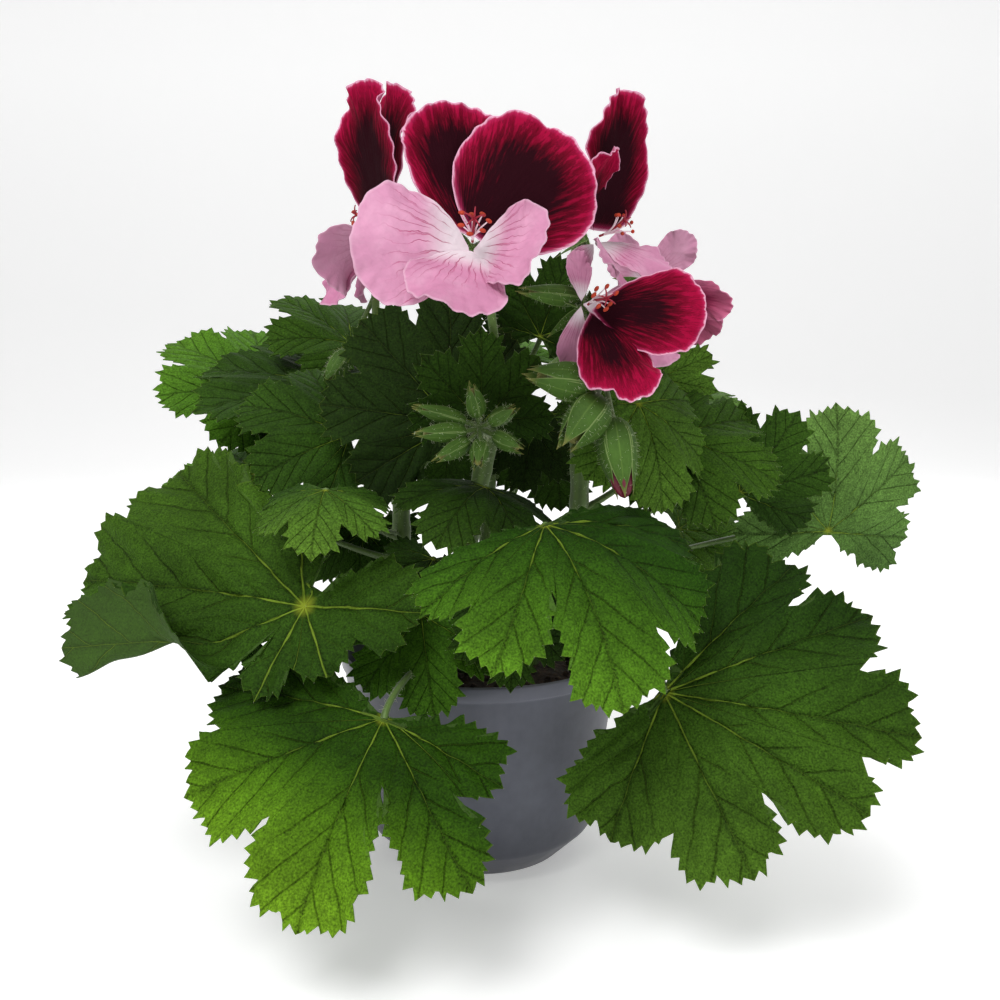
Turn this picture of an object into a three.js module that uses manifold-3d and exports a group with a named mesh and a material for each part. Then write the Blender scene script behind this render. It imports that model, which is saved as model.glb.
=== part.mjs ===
// A regal pelargonium in its plastic nursery pot: four leafy stems, five open blooms and their buds.
// Millimetres, +Z up, the origin at the centre of the pot's underside, the plant's front towards -Y.
import * as THREE from 'three';
import * as BufferGeometryUtils from 'three/addons/utils/BufferGeometryUtils.js';
import Module from 'manifold-3d';

const wasm = await Module();
wasm.setup();

// Pot and soil
const POT_HEIGHT = 72;
const RIM_RADIUS = 50;
const RIM_DEPTH = 5;
const RIM_STEP = 0.9;
const WALL = 1.2;
const SHOULDER_RADIUS = 40.6;
const SHOULDER_HEIGHT = 10.4;
const FOOT_RADIUS = 30.6;
const FLOOR = 1.6;
const POT_SIDES = 32;
const DRAIN_RADIUS = 3.5;
const DRAIN_RING = 21;
const DRAINS = 6;
const GAP = 0.3;
const SOIL_LEVEL = 63;
const SOIL_MOUND = 4;
const SOIL_SIDES = 20;
const HOLE_CLEARANCE = 0.8;
const DRILL_SIDES = 8;
const DRILL_LENGTH = 40;

// Blades
const LEAF_THICKNESS = 0.8;
const PETAL_THICKNESS = 0.7;
const FEWEST_TEETH = 10;
const MOST_TEETH = 18;
const TOOTH_SPACING = 3.6;
const PETAL_POINTS = 16;
const LEAF_RINGS = [1, 0.64, 0.3];
const PETAL_RINGS = [1, 0.6];
const TOOTH = 0.05;
const LEAF_BASE = 0.1;
const PLEAT = 0.09;
const LEAF_WAVE = 0.03;
const LEAF_WAVES = 4;
const FOLD_ANGLE = 150;
const FOLD_RADIUS = 0.05;
const FOLD_FROM = 0.3;
const FOLD_TO = 0.62;
const PETAL_CENTRE = 0.55;
const PETAL_WAVE = 0.05;
const PETAL_WAVES = 5;
const PETAL_SPREAD = 1.6;
const CLAW_RADIUS = 1.3;
const CLAW_OFFSET = 0.9;
const CALYX_BACK = 2.6;
const CALYX_RADIUS = 1.5;
const BUD_SIDES = 5;
const BUD_ROOT = 0.2;
const SEPALS = 5;
const SEPAL_LENGTH = 13;
const SEPAL_RADIUS = 1.6;
const SEPAL_SWEEP = 0.5;
const STAMEN_AHEAD = 2.1;
const STAMENS = 4;
const STAMEN_LENGTH = 11;
const STAMEN_STEP = 0.1;
const STAMEN_FAN = 0.4;
const STAMEN_RISE = 0.2;
const STAMEN_RADIUS = 0.5;
const STAMEN_ROOT = 1;
const ANTHER_RADIUS = 1.1;
const BUD_PROFILE = [[0, 0], [0.8, 0.12], [1, 0.4], [0.6, 0.72], [0, 1]];
const OPENING_PROFILE = [[0, 0], [0.8, 0.12], [1, 0.4], [0.8, 0.6], [0, 0.6]];
const BUD_PETAL_PROFILE = [[0, 0], [0.7, 0], [0.8, 0.4], [0, 1]];
const OPENING = 0.6;
const SEPAL_PROFILE = [[0, 0], [1, 0.35], [0, 1]];

// Stems and stalks
const STEM_RADIUS = 3.2;
const STEM_STEPS = 7;
const STEM_SIDES = 6;
const PETIOLE_RADIUS = 1.2;
const PETIOLE_STEPS = 3;
const APPROACH = 0.4;
const FLOWER_STALK_RADIUS = 1.4;
const PEDICEL_RADIUS = 1;

// Colours
const LEAF_GREEN = '#3f7a22';
const DARK_PETAL = '#5c0a24';
const PALE_PETAL = '#eea6c4';
const STAMEN_RED = '#c8402a';
const POT_GREY = '#6d6d7c';
const SOIL_BROWN = '#3a2a22';

// Every leaf outline: its lobes as [angle from the tip, length, cut after the lobe], and the two angles
// where the blade ends beside the leaf stalk. Lengths are shares of the leaf's own length.
const OUTLINES = {
  round: {
    lobes: [[-96, 0.76, 0.2], [-48, 0.92, 0.22], [0, 1, 0.22], [48, 0.92, 0.2], [96, 0.76, 0]],
    ends: [-134, 134],
  },
  fan: {
    lobes: [[-80, 0.8, 0.16], [-40, 0.95, 0.18], [0, 1, 0.18], [40, 0.95, 0.16], [80, 0.8, 0]],
    ends: [-112, 112],
  },
  front: {
    lobes: [[-74, 0.74, 0.16], [-36, 0.86, 0.44], [0, 1, 0.18], [40, 0.95, 0.16], [80, 0.8, 0]],
    ends: [-100, 112],
  },
  lowLeft: {
    lobes: [[-80, 0.88, 0.1], [-43, 0.94, 0.26], [7, 0.97, 0.56], [55, 0.88, 0.22], [86, 0.62, 0]],
    ends: [-110, 116],
  },
  lowRight: {
    lobes: [
      [-102, 0.62, 0.14], [-55, 0.77, 0.28], [-21, 0.89, 0.1], [0, 0.97, 0.12], [31, 0.88, 0.2], [57, 0.8, 0],
    ],
    ends: [-142, 86],
  },
  left: {
    lobes: [
      [-72, 0.42, 0.1], [-38, 0.94, 0.08], [-6, 1.02, 0.1], [28, 0.9, 0.66],
      [74, 0.34, 0.12], [120, 0.28, 0.2], [182, 0.42, 0],
    ],
    ends: [-100, 226],
    fold: [16, 49],
  },
};

// Every leaf: the stem it grows from, the height its stalk leaves it at, the junction of stalk and blade,
// the tip of the middle lobe, and the way its upper side faces. Bend droops the tip, arch the sides.
const LEAVES = [
  { stem: 'front', from: 84, outline: 'lowLeft', bend: 24, arch: 14, approach: 0.1, rise: 14,
    at: [-27, -75, 71], tip: [-54, -106, 26], face: [-0.1, -0.6, 0.6] },
  { stem: 'right', from: 84, outline: 'lowRight', bend: 14, arch: 22, approach: 0.1, rise: 14,
    at: [57, -60, 74], tip: [126, -82, 68], face: [0.1, -0.9, 0.5] },
  { stem: 'left', from: 80, outline: 'left', bend: 16, arch: 14,
    at: [-53, -56, 100], tip: [-136, -25, 93], face: [-0.1, -0.8, 0.6] },
  { stem: 'front', from: 100, outline: 'front', bend: 70, arch: 50,
    at: [20, -68, 127], tip: [39, -100, 82], face: [0.1, -0.6, 0.7] },
  { stem: 'front', from: 82, outline: 'round', bend: 20, arch: 30,
    at: [-18, -46, 95], tip: [-13, -64, 68], face: [-0.1, -0.9, 0.3] },
  { stem: 'front', from: 78, outline: 'round', bend: 20, arch: 30,
    at: [10, -54, 99], tip: [10, -62, 76], face: [0.2, -0.9, 0.3] },
  { stem: 'left', from: 112, outline: 'round', bend: 50, arch: 50, approach: 0.2,
    at: [-47, -50, 135], tip: [-48, -70, 118], face: [0, -0.5, 0.7] },
  { stem: 'front', from: 118, outline: 'round', bend: 60, arch: 40,
    at: [2, -34, 134], tip: [-12, -60, 119], face: [0, -0.55, 0.8] },
  { stem: 'left', from: 130, outline: 'fan', bend: 20, arch: 20,
    at: [-9, -20, 154], tip: [-40, -14, 188], face: [0.1, -1, 0.2] },
  { stem: 'left', from: 124, outline: 'round', bend: 40, arch: 50,
    at: [-45, -12, 149], tip: [-82, -10, 159], face: [0, -0.7, 0.7] },
  { stem: 'left', from: 136, outline: 'fan', bend: 20, arch: 20,
    at: [-52, 16, 164], tip: [-104, 28, 170], face: [0, -0.35, 0.9] },
  { stem: 'back', from: 118, outline: 'round', bend: 20, arch: 20,
    at: [-83, 38, 163], tip: [-123, 48, 181], face: [0.2, -0.5, 0.85] },
  { stem: 'left', from: 104, outline: 'round', bend: 40, arch: 40,
    at: [-82, 8, 134], tip: [-118, 16, 128], face: [-0.1, -0.4, 0.9] },
  { stem: 'left', from: 140, outline: 'round', bend: 30, arch: 30,
    at: [-50, 34, 181], tip: [-79, 44, 198], face: [0.1, -0.4, 0.85] },
  { stem: 'right', from: 128, outline: 'round', bend: 40, arch: 40,
    at: [51, -34, 161], tip: [58, -42, 127], face: [0.5, -0.9, 0.3] },
  { stem: 'right', from: 122, outline: 'round', bend: 30, arch: 30,
    at: [65, -18, 149], tip: [100, -22, 134], face: [0.1, -0.7, 0.7] },
  { stem: 'right', from: 138, outline: 'fan', bend: 10, arch: 10,
    at: [64, 12, 168], tip: [84, 14, 177], face: [0, -0.8, 0.6] },
  { stem: 'right', from: 112, outline: 'fan', bend: 24, arch: 24,
    at: [94, 8, 127], tip: [112, 2, 156], face: [0.2, -0.9, 0.4] },
  { stem: 'right', from: 96, outline: 'round', bend: 30, arch: 20,
    at: [129, 16, 112], tip: [131, 18, 158], face: [0.2, -0.9, 0.3] },
  { stem: 'back', from: 138, outline: 'fan', bend: 30, arch: 20,
    at: [74, 30, 159], tip: [99, 26, 156], face: [0, -0.25, 0.95] },
  { stem: 'front', from: 94, outline: 'round', bend: 30, arch: 30,
    at: [-16, -20, 108], tip: [-23, -36, 93], face: [0, -0.9, 0.4] },
  { stem: 'front', from: 130, outline: 'fan', bend: 10, arch: -30,
    at: [1, -36, 155], tip: [1, -42, 184], face: [0, -1, 0] },
  { stem: 'back', from: 84, outline: 'round', bend: 30, arch: 20,
    at: [-18, 66, 90], tip: [-24, 106, 62], face: [-0.1, 0.6, 0.7] },
  { stem: 'back', from: 90, outline: 'round', bend: 30, arch: 20,
    at: [46, 60, 102], tip: [82, 90, 84], face: [0.2, 0.5, 0.8] },
  { stem: 'left', from: 92, outline: 'round', bend: 30, arch: 24,
    at: [-66, 46, 106], tip: [-108, 68, 96], face: [-0.2, 0.4, 0.9] },
  { stem: 'right', from: 88, outline: 'fan', bend: 30, arch: 20,
    at: [76, 32, 110], tip: [110, 44, 98], face: [0.2, -0.6, 0.8] },
  { stem: 'back', from: 110, outline: 'round', bend: 40, arch: 30,
    at: [4, 58, 132], tip: [-2, 94, 124], face: [0, 0.4, 0.9] },
  { stem: 'back', from: 124, outline: 'round', bend: 30, arch: 30,
    at: [-34, 48, 150], tip: [-58, 78, 150], face: [-0.1, 0.4, 0.9] },
  { stem: 'back', from: 130, outline: 'round', bend: 30, arch: 30,
    at: [40, 46, 148], tip: [66, 74, 144], face: [0.2, 0.3, 0.9] },
  { stem: 'back', from: 150, outline: 'fan', bend: 30, arch: 20,
    at: [4, 44, 176], tip: [8, 74, 180], face: [0, 0.3, 0.9] },
  { stem: 'back', from: 100, outline: 'round', bend: 20, arch: 20,
    at: [26, 38, 154], tip: [30, 28, 118], face: [0.1, -0.9, 0.3] },
  { stem: 'back', from: 104, outline: 'round', bend: 20, arch: 20,
    at: [-12, 36, 146], tip: [-15, 29, 120], face: [-0.1, -0.9, 0.3] },
  { stem: 'back', from: 140, outline: 'round', bend: 30, arch: 30,
    at: [-8, 56, 167], tip: [-10, 72, 143], face: [-0.1, 0.8, 0.5] },
  { stem: 'back', from: 144, outline: 'round', bend: 20, arch: 20,
    at: [22, 30, 184], tip: [32, 22, 212], face: [0, -0.9, 0.3] },
  { stem: 'left', from: 80, outline: 'round', bend: 20, arch: 20,
    at: [-43, 10, 113], tip: [-45, 2, 87], face: [-0.1, -0.9, 0.3] },
  { stem: 'back', from: 96, outline: 'fan', bend: 20, arch: 20,
    at: [18, 8, 152], tip: [15, 2, 128], face: [0, -0.9, 0.3] },
];

// Main stems, each a list of the points it grows through, with its foot in the soil
const STEMS = {
  front: [[-4, -12, 50], [-4, -12, 68], [-6, -18, 94], [-2, -22, 124], [4, -22, 152]],
  left: [[-18, 4, 50], [-18, 4, 68], [-26, 0, 94], [-28, -4, 122], [-24, -4, 150]],
  right: [[18, 2, 50], [18, 2, 68], [28, -4, 94], [34, -8, 122], [34, -10, 152]],
  back: [[2, 18, 50], [2, 18, 68], [2, 25, 94], [2, 30, 124], [2, 30, 158]],
};

// Flower stalks: each leaves its stem near the top, and its pedicels fork from its end
const FLOWER_STALKS = {
  front: { stem: 'front', route: [[3, -22, 148], [6, -30, 170], [4, -40, 190]] },
  left: { stem: 'left', route: [[-25, -4, 146], [-36, 4, 176], [-37, 4, 198]] },
  right: { stem: 'right', route: [[34, -10, 148], [38, -14, 168], [38, -20, 182]] },
  rear: { stem: 'back', route: [[2, 30, 154], [30, 24, 176], [46, 16, 188]] },
  young: { stem: 'front', route: [[4, -22, 150], [2, -34, 152], [0, -42, 154]] },
};

// Buds: the stalk each hangs on, its base, its tip and its radius. One is opening: dark petals end it.
const BUDS = [
  { stalk: 'right', base: [35, -54, 167], tip: [14, -60, 171], radius: 4.6 },
  { stalk: 'right', base: [37, -56, 163], tip: [25, -64, 149], radius: 5.2 },
  { stalk: 'right', base: [41, -54, 157], tip: [44, -60, 134], radius: 4.8, opening: true },
  { stalk: 'right', base: [32, -36, 194], tip: [12, -44, 196], radius: 2.6 },
  { stalk: 'left', base: [-48, 10, 178], tip: [-56, 6, 166], radius: 3 },
  { stalk: 'rear', base: [40, 30, 190], tip: [34, 40, 180], radius: 4 },
  { stalk: 'young', base: [-4, -46, 156], tip: [-20, -50, 161], radius: 2.2 },
  { stalk: 'young', base: [-4, -48, 153], tip: [-19, -56, 153], radius: 2.4 },
  { stalk: 'young', base: [-3, -49, 150], tip: [-13, -58, 145], radius: 2.2 },
  { stalk: 'young', base: [1, -50, 150], tip: [0, -60, 143], radius: 2.4 },
  { stalk: 'young', base: [5, -49, 152], tip: [14, -57, 148], radius: 2.2 },
  { stalk: 'young', base: [4, -48, 156], tip: [12, -54, 161], radius: 2.2 },
  { stalk: 'young', base: [0, -47, 158], tip: [-2, -54, 168], radius: 2.4 },
];

// Open blooms. The throat is the point where the petals meet; face is the way the bloom looks and up the
// way from its lower petals to its upper ones. Each petal has its tip, half its width as a share of its
// length, and how it arches across, bends along and twists, in degrees.
const BLOOMS = [
  {
    name: 'front', stalk: 'front', throat: [-1, -68, 207], face: [0.05, -0.95, 0.3], up: [0.1, 0.3, 1],
    upper: [
      { tip: [-9, -56, 249], width: 0.44, arch: -50, bend: -10, twist: 10, claw: 0.3 },
      { tip: [26, -64, 237], width: 0.62, arch: 24, bend: 10, twist: 0, claw: 0.1 },
    ],
    lower: [
      { tip: [-34, -78, 207], width: 0.64, arch: 14, bend: 24, twist: 0, claw: 0.3 },
      { tip: [-7, -94, 189], width: 0.6, arch: 24, bend: 24, twist: 0, claw: 0.4 },
      { tip: [18, -86, 205], width: 0.68, arch: -60, bend: -10, twist: 0, claw: 0.4 },
    ],
  },
  {
    name: 'left', stalk: 'left', throat: [-31, -8, 218], face: [-0.85, -0.4, 0.2], up: [0.1, 0, 1],
    upper: [
      { tip: [-40, -12, 266], width: 0.33, arch: -30, bend: 20, twist: 20, claw: -0.2 },
      { tip: [-32, 6, 268], width: 0.36, arch: -40, bend: 20, twist: 30, claw: 0.3 },
    ],
    lower: [
      { tip: [-52, -22, 203], width: 0.6, arch: 10, bend: 20, twist: 70 },
      { tip: [-54, 2, 196], width: 0.44, arch: 30, bend: 40, twist: 0 },
      { tip: [-46, 20, 202], width: 0.44, arch: 30, bend: 40, twist: 0 },
    ],
  },
  {
    name: 'right', stalk: 'right', throat: [37, -24, 214], face: [0.8, -0.55, 0.2], up: [0, 0, 1],
    upper: [
      { tip: [45, -30, 259], width: 0.28, arch: -60, bend: 10, twist: -20, claw: -0.3 },
      { tip: [42, -42, 238], width: 0.34, arch: -80, bend: -40, twist: -20 },
    ],
    lower: [
      { tip: [61, -32, 203], width: 0.5, arch: 30, bend: 30, twist: 0 },
      { tip: [43, -44, 201], width: 0.5, arch: 30, bend: 30, twist: 0 },
      { tip: [30, -32, 202], width: 0.46, arch: 30, bend: 20, twist: 0 },
    ],
  },
  {
    name: 'low', stalk: 'right', throat: [33, -44, 191], face: [0.3, -0.9, 0.3], up: [0.7, 0, -0.6],
    upper: [
      { tip: [68, -56, 189], width: 0.5, arch: 20, bend: 14, twist: 0, claw: 0.4 },
      { tip: [45, -66, 163], width: 0.46, arch: 20, bend: 14, twist: 0 },
    ],
    lower: [
      { tip: [27, -46, 172], width: 0.3, arch: 20, bend: 10, twist: 0 },
      { tip: [31, -35, 209], width: 0.3, arch: 20, bend: 10, twist: 0 },
      { tip: [64, -10, 181], width: 0.34, arch: 20, bend: 10, twist: 0 },
    ],
  },
  {
    name: 'rear', stalk: 'rear', throat: [60, 10, 202], face: [0.5, 0.8, 0.3], up: [0.85, -0.3, -0.5],
    upper: [
      { tip: [87, -4, 193], width: 0.3, arch: 20, bend: 10, twist: 0 },
      { tip: [86, 22, 184], width: 0.4, arch: 20, bend: 14, twist: 0 },
    ],
    lower: [
      { tip: [74, 2, 218], width: 0.4, arch: 20, bend: 24, twist: 0 },
      { tip: [46, 28, 218], width: 0.44, arch: 20, bend: 24, twist: 0 },
      { tip: [46, 32, 186], width: 0.4, arch: 20, bend: 24, twist: 0 },
    ],
  },
];

function vector(point) {
  return new THREE.Vector3(...point);
}

function radians(degrees) {
  return THREE.MathUtils.degToRad(degrees);
}

function solid(geometry) {
  const plain = geometry.clone();
  plain.deleteAttribute('normal');
  plain.deleteAttribute('uv');
  const merged = BufferGeometryUtils.mergeVertices(plain, 1e-4);
  return new wasm.Manifold(new wasm.Mesh({
    numProp: 3,
    vertProperties: new Float32Array(merged.attributes.position.array),
    triVerts: new Uint32Array(merged.index.array),
  }));
}

// The largest closed body of a solid, so that a loose scrap left by a cut is dropped
function body(shape) {
  const pieces = shape.decompose();
  pieces.sort((first, second) => second.volume() - first.volume());
  return pieces[0];
}

function geometryOf(shape) {
  const { vertProperties, triVerts } = shape.getMesh();
  const geometry = new THREE.BufferGeometry();
  geometry.setAttribute('position', new THREE.BufferAttribute(new Float32Array(vertProperties), 3));
  geometry.setIndex(new THREE.BufferAttribute(new Uint32Array(triVerts), 1));
  return geometry;
}

function union(shapes) {
  return shapes.reduce((joined, shape) => joined.add(shape));
}

// A round tube of few sides along a curve
function tube(curve, radius, steps, sides = 3) {
  const corners = Array.from({ length: sides }, (_, index) => {
    const angle = (index / sides) * Math.PI * 2;
    return new THREE.Vector2(radius * Math.cos(angle), radius * Math.sin(angle));
  });
  const options = { steps, bevelEnabled: false, extrudePath: curve };
  return solid(new THREE.ExtrudeGeometry(new THREE.Shape(corners), options));
}

// Rolls a strip about a line across it: a positive angle turns its far end down
function curl(along, up, angle) {
  if (Math.abs(angle) < 1e-4) {
    return [along, up];
  }
  const radius = 1 / angle;
  return [(radius + up) * Math.sin(along * angle), (radius + up) * Math.cos(along * angle) - radius];
}

// The edge of a leaf at an angle from its tip, and how far across its lobe that angle is, 0 on the vein
function leafEdge(outline, angle) {
  const { lobes, ends } = outline;
  let index = 0;
  while (index < lobes.length - 1 && angle > (lobes[index][0] + lobes[index + 1][0]) / 2) {
    index += 1;
  }
  const [axis, length] = lobes[index];
  const side = angle < axis ? -1 : 1;
  const neighbour = lobes[index + side];
  const limit = neighbour ? (axis + neighbour[0]) / 2 : ends[side < 0 ? 0 : 1];
  const across = (angle - axis) / (limit - axis);
  if (!neighbour) {
    return { radius: length + (LEAF_BASE - length) * Math.abs(across) ** 6, across };
  }
  const cut = side < 0 ? neighbour[2] : lobes[index][2];
  const notch = (length + neighbour[1]) / 2 * (1 - cut);
  return { radius: length + (notch - length) * Math.abs(across) ** 4, across };
}

// A point of a leaf of unit length: pleated between its veins, waved towards its edge,
// then drooped across and along. turn runs 0 to 1 round the edge, reach 0 to 1 from junction to edge.
function leafPoint(leaf, turn, reach, tooth) {
  const outline = OUTLINES[leaf.outline];
  const degrees = outline.ends[0] + (outline.ends[1] - outline.ends[0]) * turn;
  const { radius, across } = leafEdge(outline, degrees);
  const out = reach * (radius + tooth);
  const angle = radians(degrees);
  const x = out * Math.cos(angle);
  const y = out * Math.sin(angle);
  const z = PLEAT * out * across ** 2 + LEAF_WAVE * out ** 2 * Math.sin(LEAF_WAVES * angle + leaf.at[0]);
  const [foldedX, foldedY, foldedZ] = foldLobe(outline, degrees, out, [x, y, z]);
  const [acrossY, raised] = curl(foldedY, foldedZ, radians(leaf.arch));
  const [alongX, height] = curl(foldedX, raised, radians(leaf.bend));
  return [alongX, acrossY, height];
}

// Turns a lobe up and back over a fold line from the junction, by more the further out it lies.
// An outline's fold is the angle of that line and the angle at which the lobe ends.
function foldLobe(outline, degrees, out, [x, y, z]) {
  const [line, end] = outline.fold ?? [0, 0];
  if (degrees <= line || degrees >= end) {
    return [x, y, z];
  }
  const vein = radians(line);
  const away = out * Math.sin(radians(degrees) - vein);
  const along = out * Math.cos(radians(degrees) - vein);
  const full = radians(FOLD_ANGLE) * THREE.MathUtils.smoothstep(out, FOLD_FROM, FOLD_TO);
  const turned = Math.min(away / FOLD_RADIUS, full);
  const rest = away - FOLD_RADIUS * turned;
  const flat = FOLD_RADIUS * Math.sin(turned) + rest * Math.cos(turned) - z * Math.sin(turned);
  const height = FOLD_RADIUS * (1 - Math.cos(turned)) + rest * Math.sin(turned) + z * Math.cos(turned);
  const [cosine, sine] = [Math.cos(vein), Math.sin(vein)];
  return [along * cosine - flat * sine, along * sine + flat * cosine, height];
}

// A blade of one thickness about a middle surface. point(turn, reach, rim) gives that surface from its
// centre (reach 0) to its edge (reach 1), on rings at the given reaches, each with half the points of the
// one outside it; both faces are split into triangles alike.
function blade(point, count, reaches, thickness, closed) {
  const middle = [new THREE.Vector3(...point(0.5, 0, 0))];
  const rings = [];
  let size = count;
  for (const reach of reaches) {
    const ring = [];
    for (let step = 0; step < size; step += 1) {
      const turn = closed ? step / size : step / (size - 1);
      ring.push(middle.length);
      middle.push(new THREE.Vector3(...point(turn, reach, reach === 1 ? step : -1)));
    }
    rings.push(ring);
    size /= 2;
  }
  const faces = [];
  for (let level = 0; level < rings.length - 1; level += 1) {
    const outer = rings[level];
    const inner = rings[level + 1];
    inner.forEach((near, step) => {
      const next = inner[(step + 1) % inner.length];
      const [first, second, third] = [0, 1, 2].map((more) => outer[(2 * step + more) % outer.length]);
      faces.push([near, first, second], [near, second, next], [next, second, third]);
    });
  }
  const core = rings[rings.length - 1];
  core.forEach((near, step) => faces.push([0, near, core[(step + 1) % core.length]]));
  return thicken(middle, faces, rings[0], thickness);
}

function thicken(middle, faces, rim, thickness) {
  const normals = middle.map(() => new THREE.Vector3());
  for (const face of faces) {
    const [a, b, c] = face.map((index) => middle[index]);
    const normal = b.clone().sub(a).cross(c.clone().sub(a));
    face.forEach((index) => normals[index].add(normal));
  }
  const offset = (index, side) => middle[index].clone().addScaledVector(
    normals[index].clone().normalize(), side * thickness / 2);
  const points = [1, -1].flatMap((side) => middle.map((point, index) => offset(index, side)));
  const total = middle.length;
  const triangles = faces.flatMap(([a, b, c]) => [a, b, c, total + a, total + c, total + b]);
  rim.forEach((index, step) => {
    const next = rim[(step + 1) % rim.length];
    triangles.push(index, total + index, total + next, index, total + next, next);
  });
  const geometry = new THREE.BufferGeometry();
  geometry.setAttribute('position', new THREE.Float32BufferAttribute(points.flatMap((p) => p.toArray()), 3));
  geometry.setIndex(triangles);
  return geometry;
}

// Places a unit blade: its centre line runs from its base to its tip, its upper side faces a given way
function placement(base, tip, face, unitTip) {
  const chord = vector(tip).sub(vector(base));
  const local = Math.atan2(unitTip[2], unitTip[0]);
  const scale = chord.length() / Math.hypot(unitTip[0], unitTip[2]);
  const ahead = chord.clone().normalize();
  const up = vector(face).projectOnPlane(ahead).normalize();
  const across = up.clone().cross(ahead);
  const turn = new THREE.Matrix4().makeRotationY(local);
  return new THREE.Matrix4().makeTranslation(...base)
    .multiply(new THREE.Matrix4().makeBasis(ahead, across, up))
    .multiply(turn)
    .multiply(new THREE.Matrix4().makeScale(scale, scale, scale));
}

function placedPoint(matrix, point) {
  return new THREE.Vector3(...point).applyMatrix4(matrix).toArray();
}

function leafBlade(leaf) {
  const matrix = placement(leaf.at, leaf.tip, leaf.face, leafPoint(leaf, tipTurn(leaf), 1, 0));
  const length = vector(leaf.at).distanceTo(vector(leaf.tip));
  const teeth = THREE.MathUtils.clamp(Math.round(length / TOOTH_SPACING / 2) * 2, FEWEST_TEETH, MOST_TEETH);
  const point = (turn, reach, rim) => {
    const tooth = rim < 0 ? 0 : TOOTH * (rim % 2 ? 1 : -1);
    return placedPoint(matrix, leafPoint(leaf, turn, reach, tooth));
  };
  return solid(blade(point, teeth * 2, LEAF_RINGS, LEAF_THICKNESS, false));
}

// A petal of unit length: a rounded blade that narrows to its claw, waved at the edge
function petalPoint(petal, turn, reach) {
  const angle = turn * Math.PI * 2;
  const edgeX = 0.5 - 0.5 * Math.cos(angle);
  const edgeY = -petal.width * Math.sin(angle) * Math.max(edgeX, 0.02) ** (petal.claw ?? 0.5);
  const x = PETAL_CENTRE + (edgeX - PETAL_CENTRE) * reach;
  const y = edgeY * reach;
  const z = PETAL_WAVE * reach ** 2 * edgeX * Math.sin(PETAL_WAVES * angle + petal.tip[0]);
  const spin = radians(petal.twist) * x;
  const [acrossY, raised] = curl(y, z, radians(petal.arch));
  const turnedY = acrossY * Math.cos(spin) - raised * Math.sin(spin);
  const turnedZ = acrossY * Math.sin(spin) + raised * Math.cos(spin);
  const [alongX, height] = curl(x, turnedZ, radians(petal.bend));
  return [alongX, turnedY, height];
}

function petalBlade(petal, base, face) {
  const matrix = placement(base, petal.tip, face, petalPoint(petal, 0.5, 1));
  return solid(blade((turn, reach) => placedPoint(matrix, petalPoint(petal, turn, reach)),
    PETAL_POINTS, PETAL_RINGS, PETAL_THICKNESS, true));
}

// Upper and lower petals start a little above and below the throat
function petalBase(bloom, kind) {
  const side = kind === 'upper' ? 1 : -1;
  return vector(bloom.throat).addScaledVector(bloomAxes(bloom).up, side * PETAL_SPREAD);
}

function petals(bloom, kind) {
  const base = petalBase(bloom, kind);
  return bloom[kind].map((petal) => {
    const claw = base.clone().addScaledVector(vector(petal.tip).sub(base).normalize(), CLAW_OFFSET);
    return petalBlade(petal, claw.toArray(), bloom.face);
  });
}

function tipTurn(leaf) {
  const [low, high] = OUTLINES[leaf.outline].ends;
  return -low / (high - low);
}

// The point of a stem at a height
function stemPoint(curve, height) {
  const steps = 60;
  let best = curve.getPoint(0);
  for (let step = 1; step <= steps; step += 1) {
    const point = curve.getPoint(step / steps);
    if (Math.abs(point.z - height) < Math.abs(best.z - height)) {
      best = point;
    }
  }
  return best;
}

// A leaf stalk leaves its stem outwards and meets the blade's underside squarely at the junction
function petiole(leaf, curve) {
  const start = stemPoint(curve, leaf.from);
  const end = vector(leaf.at);
  const chord = vector(leaf.tip).sub(end);
  const upper = vector(leaf.face).projectOnPlane(chord.normalize()).normalize();
  const approach = end.clone().addScaledVector(upper, -start.distanceTo(end) * (leaf.approach ?? APPROACH));
  approach.z += leaf.rise ?? 0;
  return tube(new THREE.QuadraticBezierCurve3(start, approach, end), PETIOLE_RADIUS, PETIOLE_STEPS);
}

function leafyStem(name) {
  const curve = new THREE.CatmullRomCurve3(STEMS[name].map(vector));
  const parts = [tube(curve, STEM_RADIUS, STEM_STEPS, STEM_SIDES)];
  for (const leaf of LEAVES.filter((one) => one.stem === name)) {
    parts.push(petiole(leaf, curve));
    parts.push(leafBlade(leaf));
  }
  for (const stalk of Object.keys(FLOWER_STALKS).filter((one) => FLOWER_STALKS[one].stem === name)) {
    parts.push(...flowerStalk(stalk));
  }
  return body(union(parts));
}

function lathe(profile, sides) {
  const points = profile.map(([radius, height]) => new THREE.Vector2(radius, height));
  return solid(new THREE.LatheGeometry(points, sides).rotateX(Math.PI / 2));
}

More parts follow.
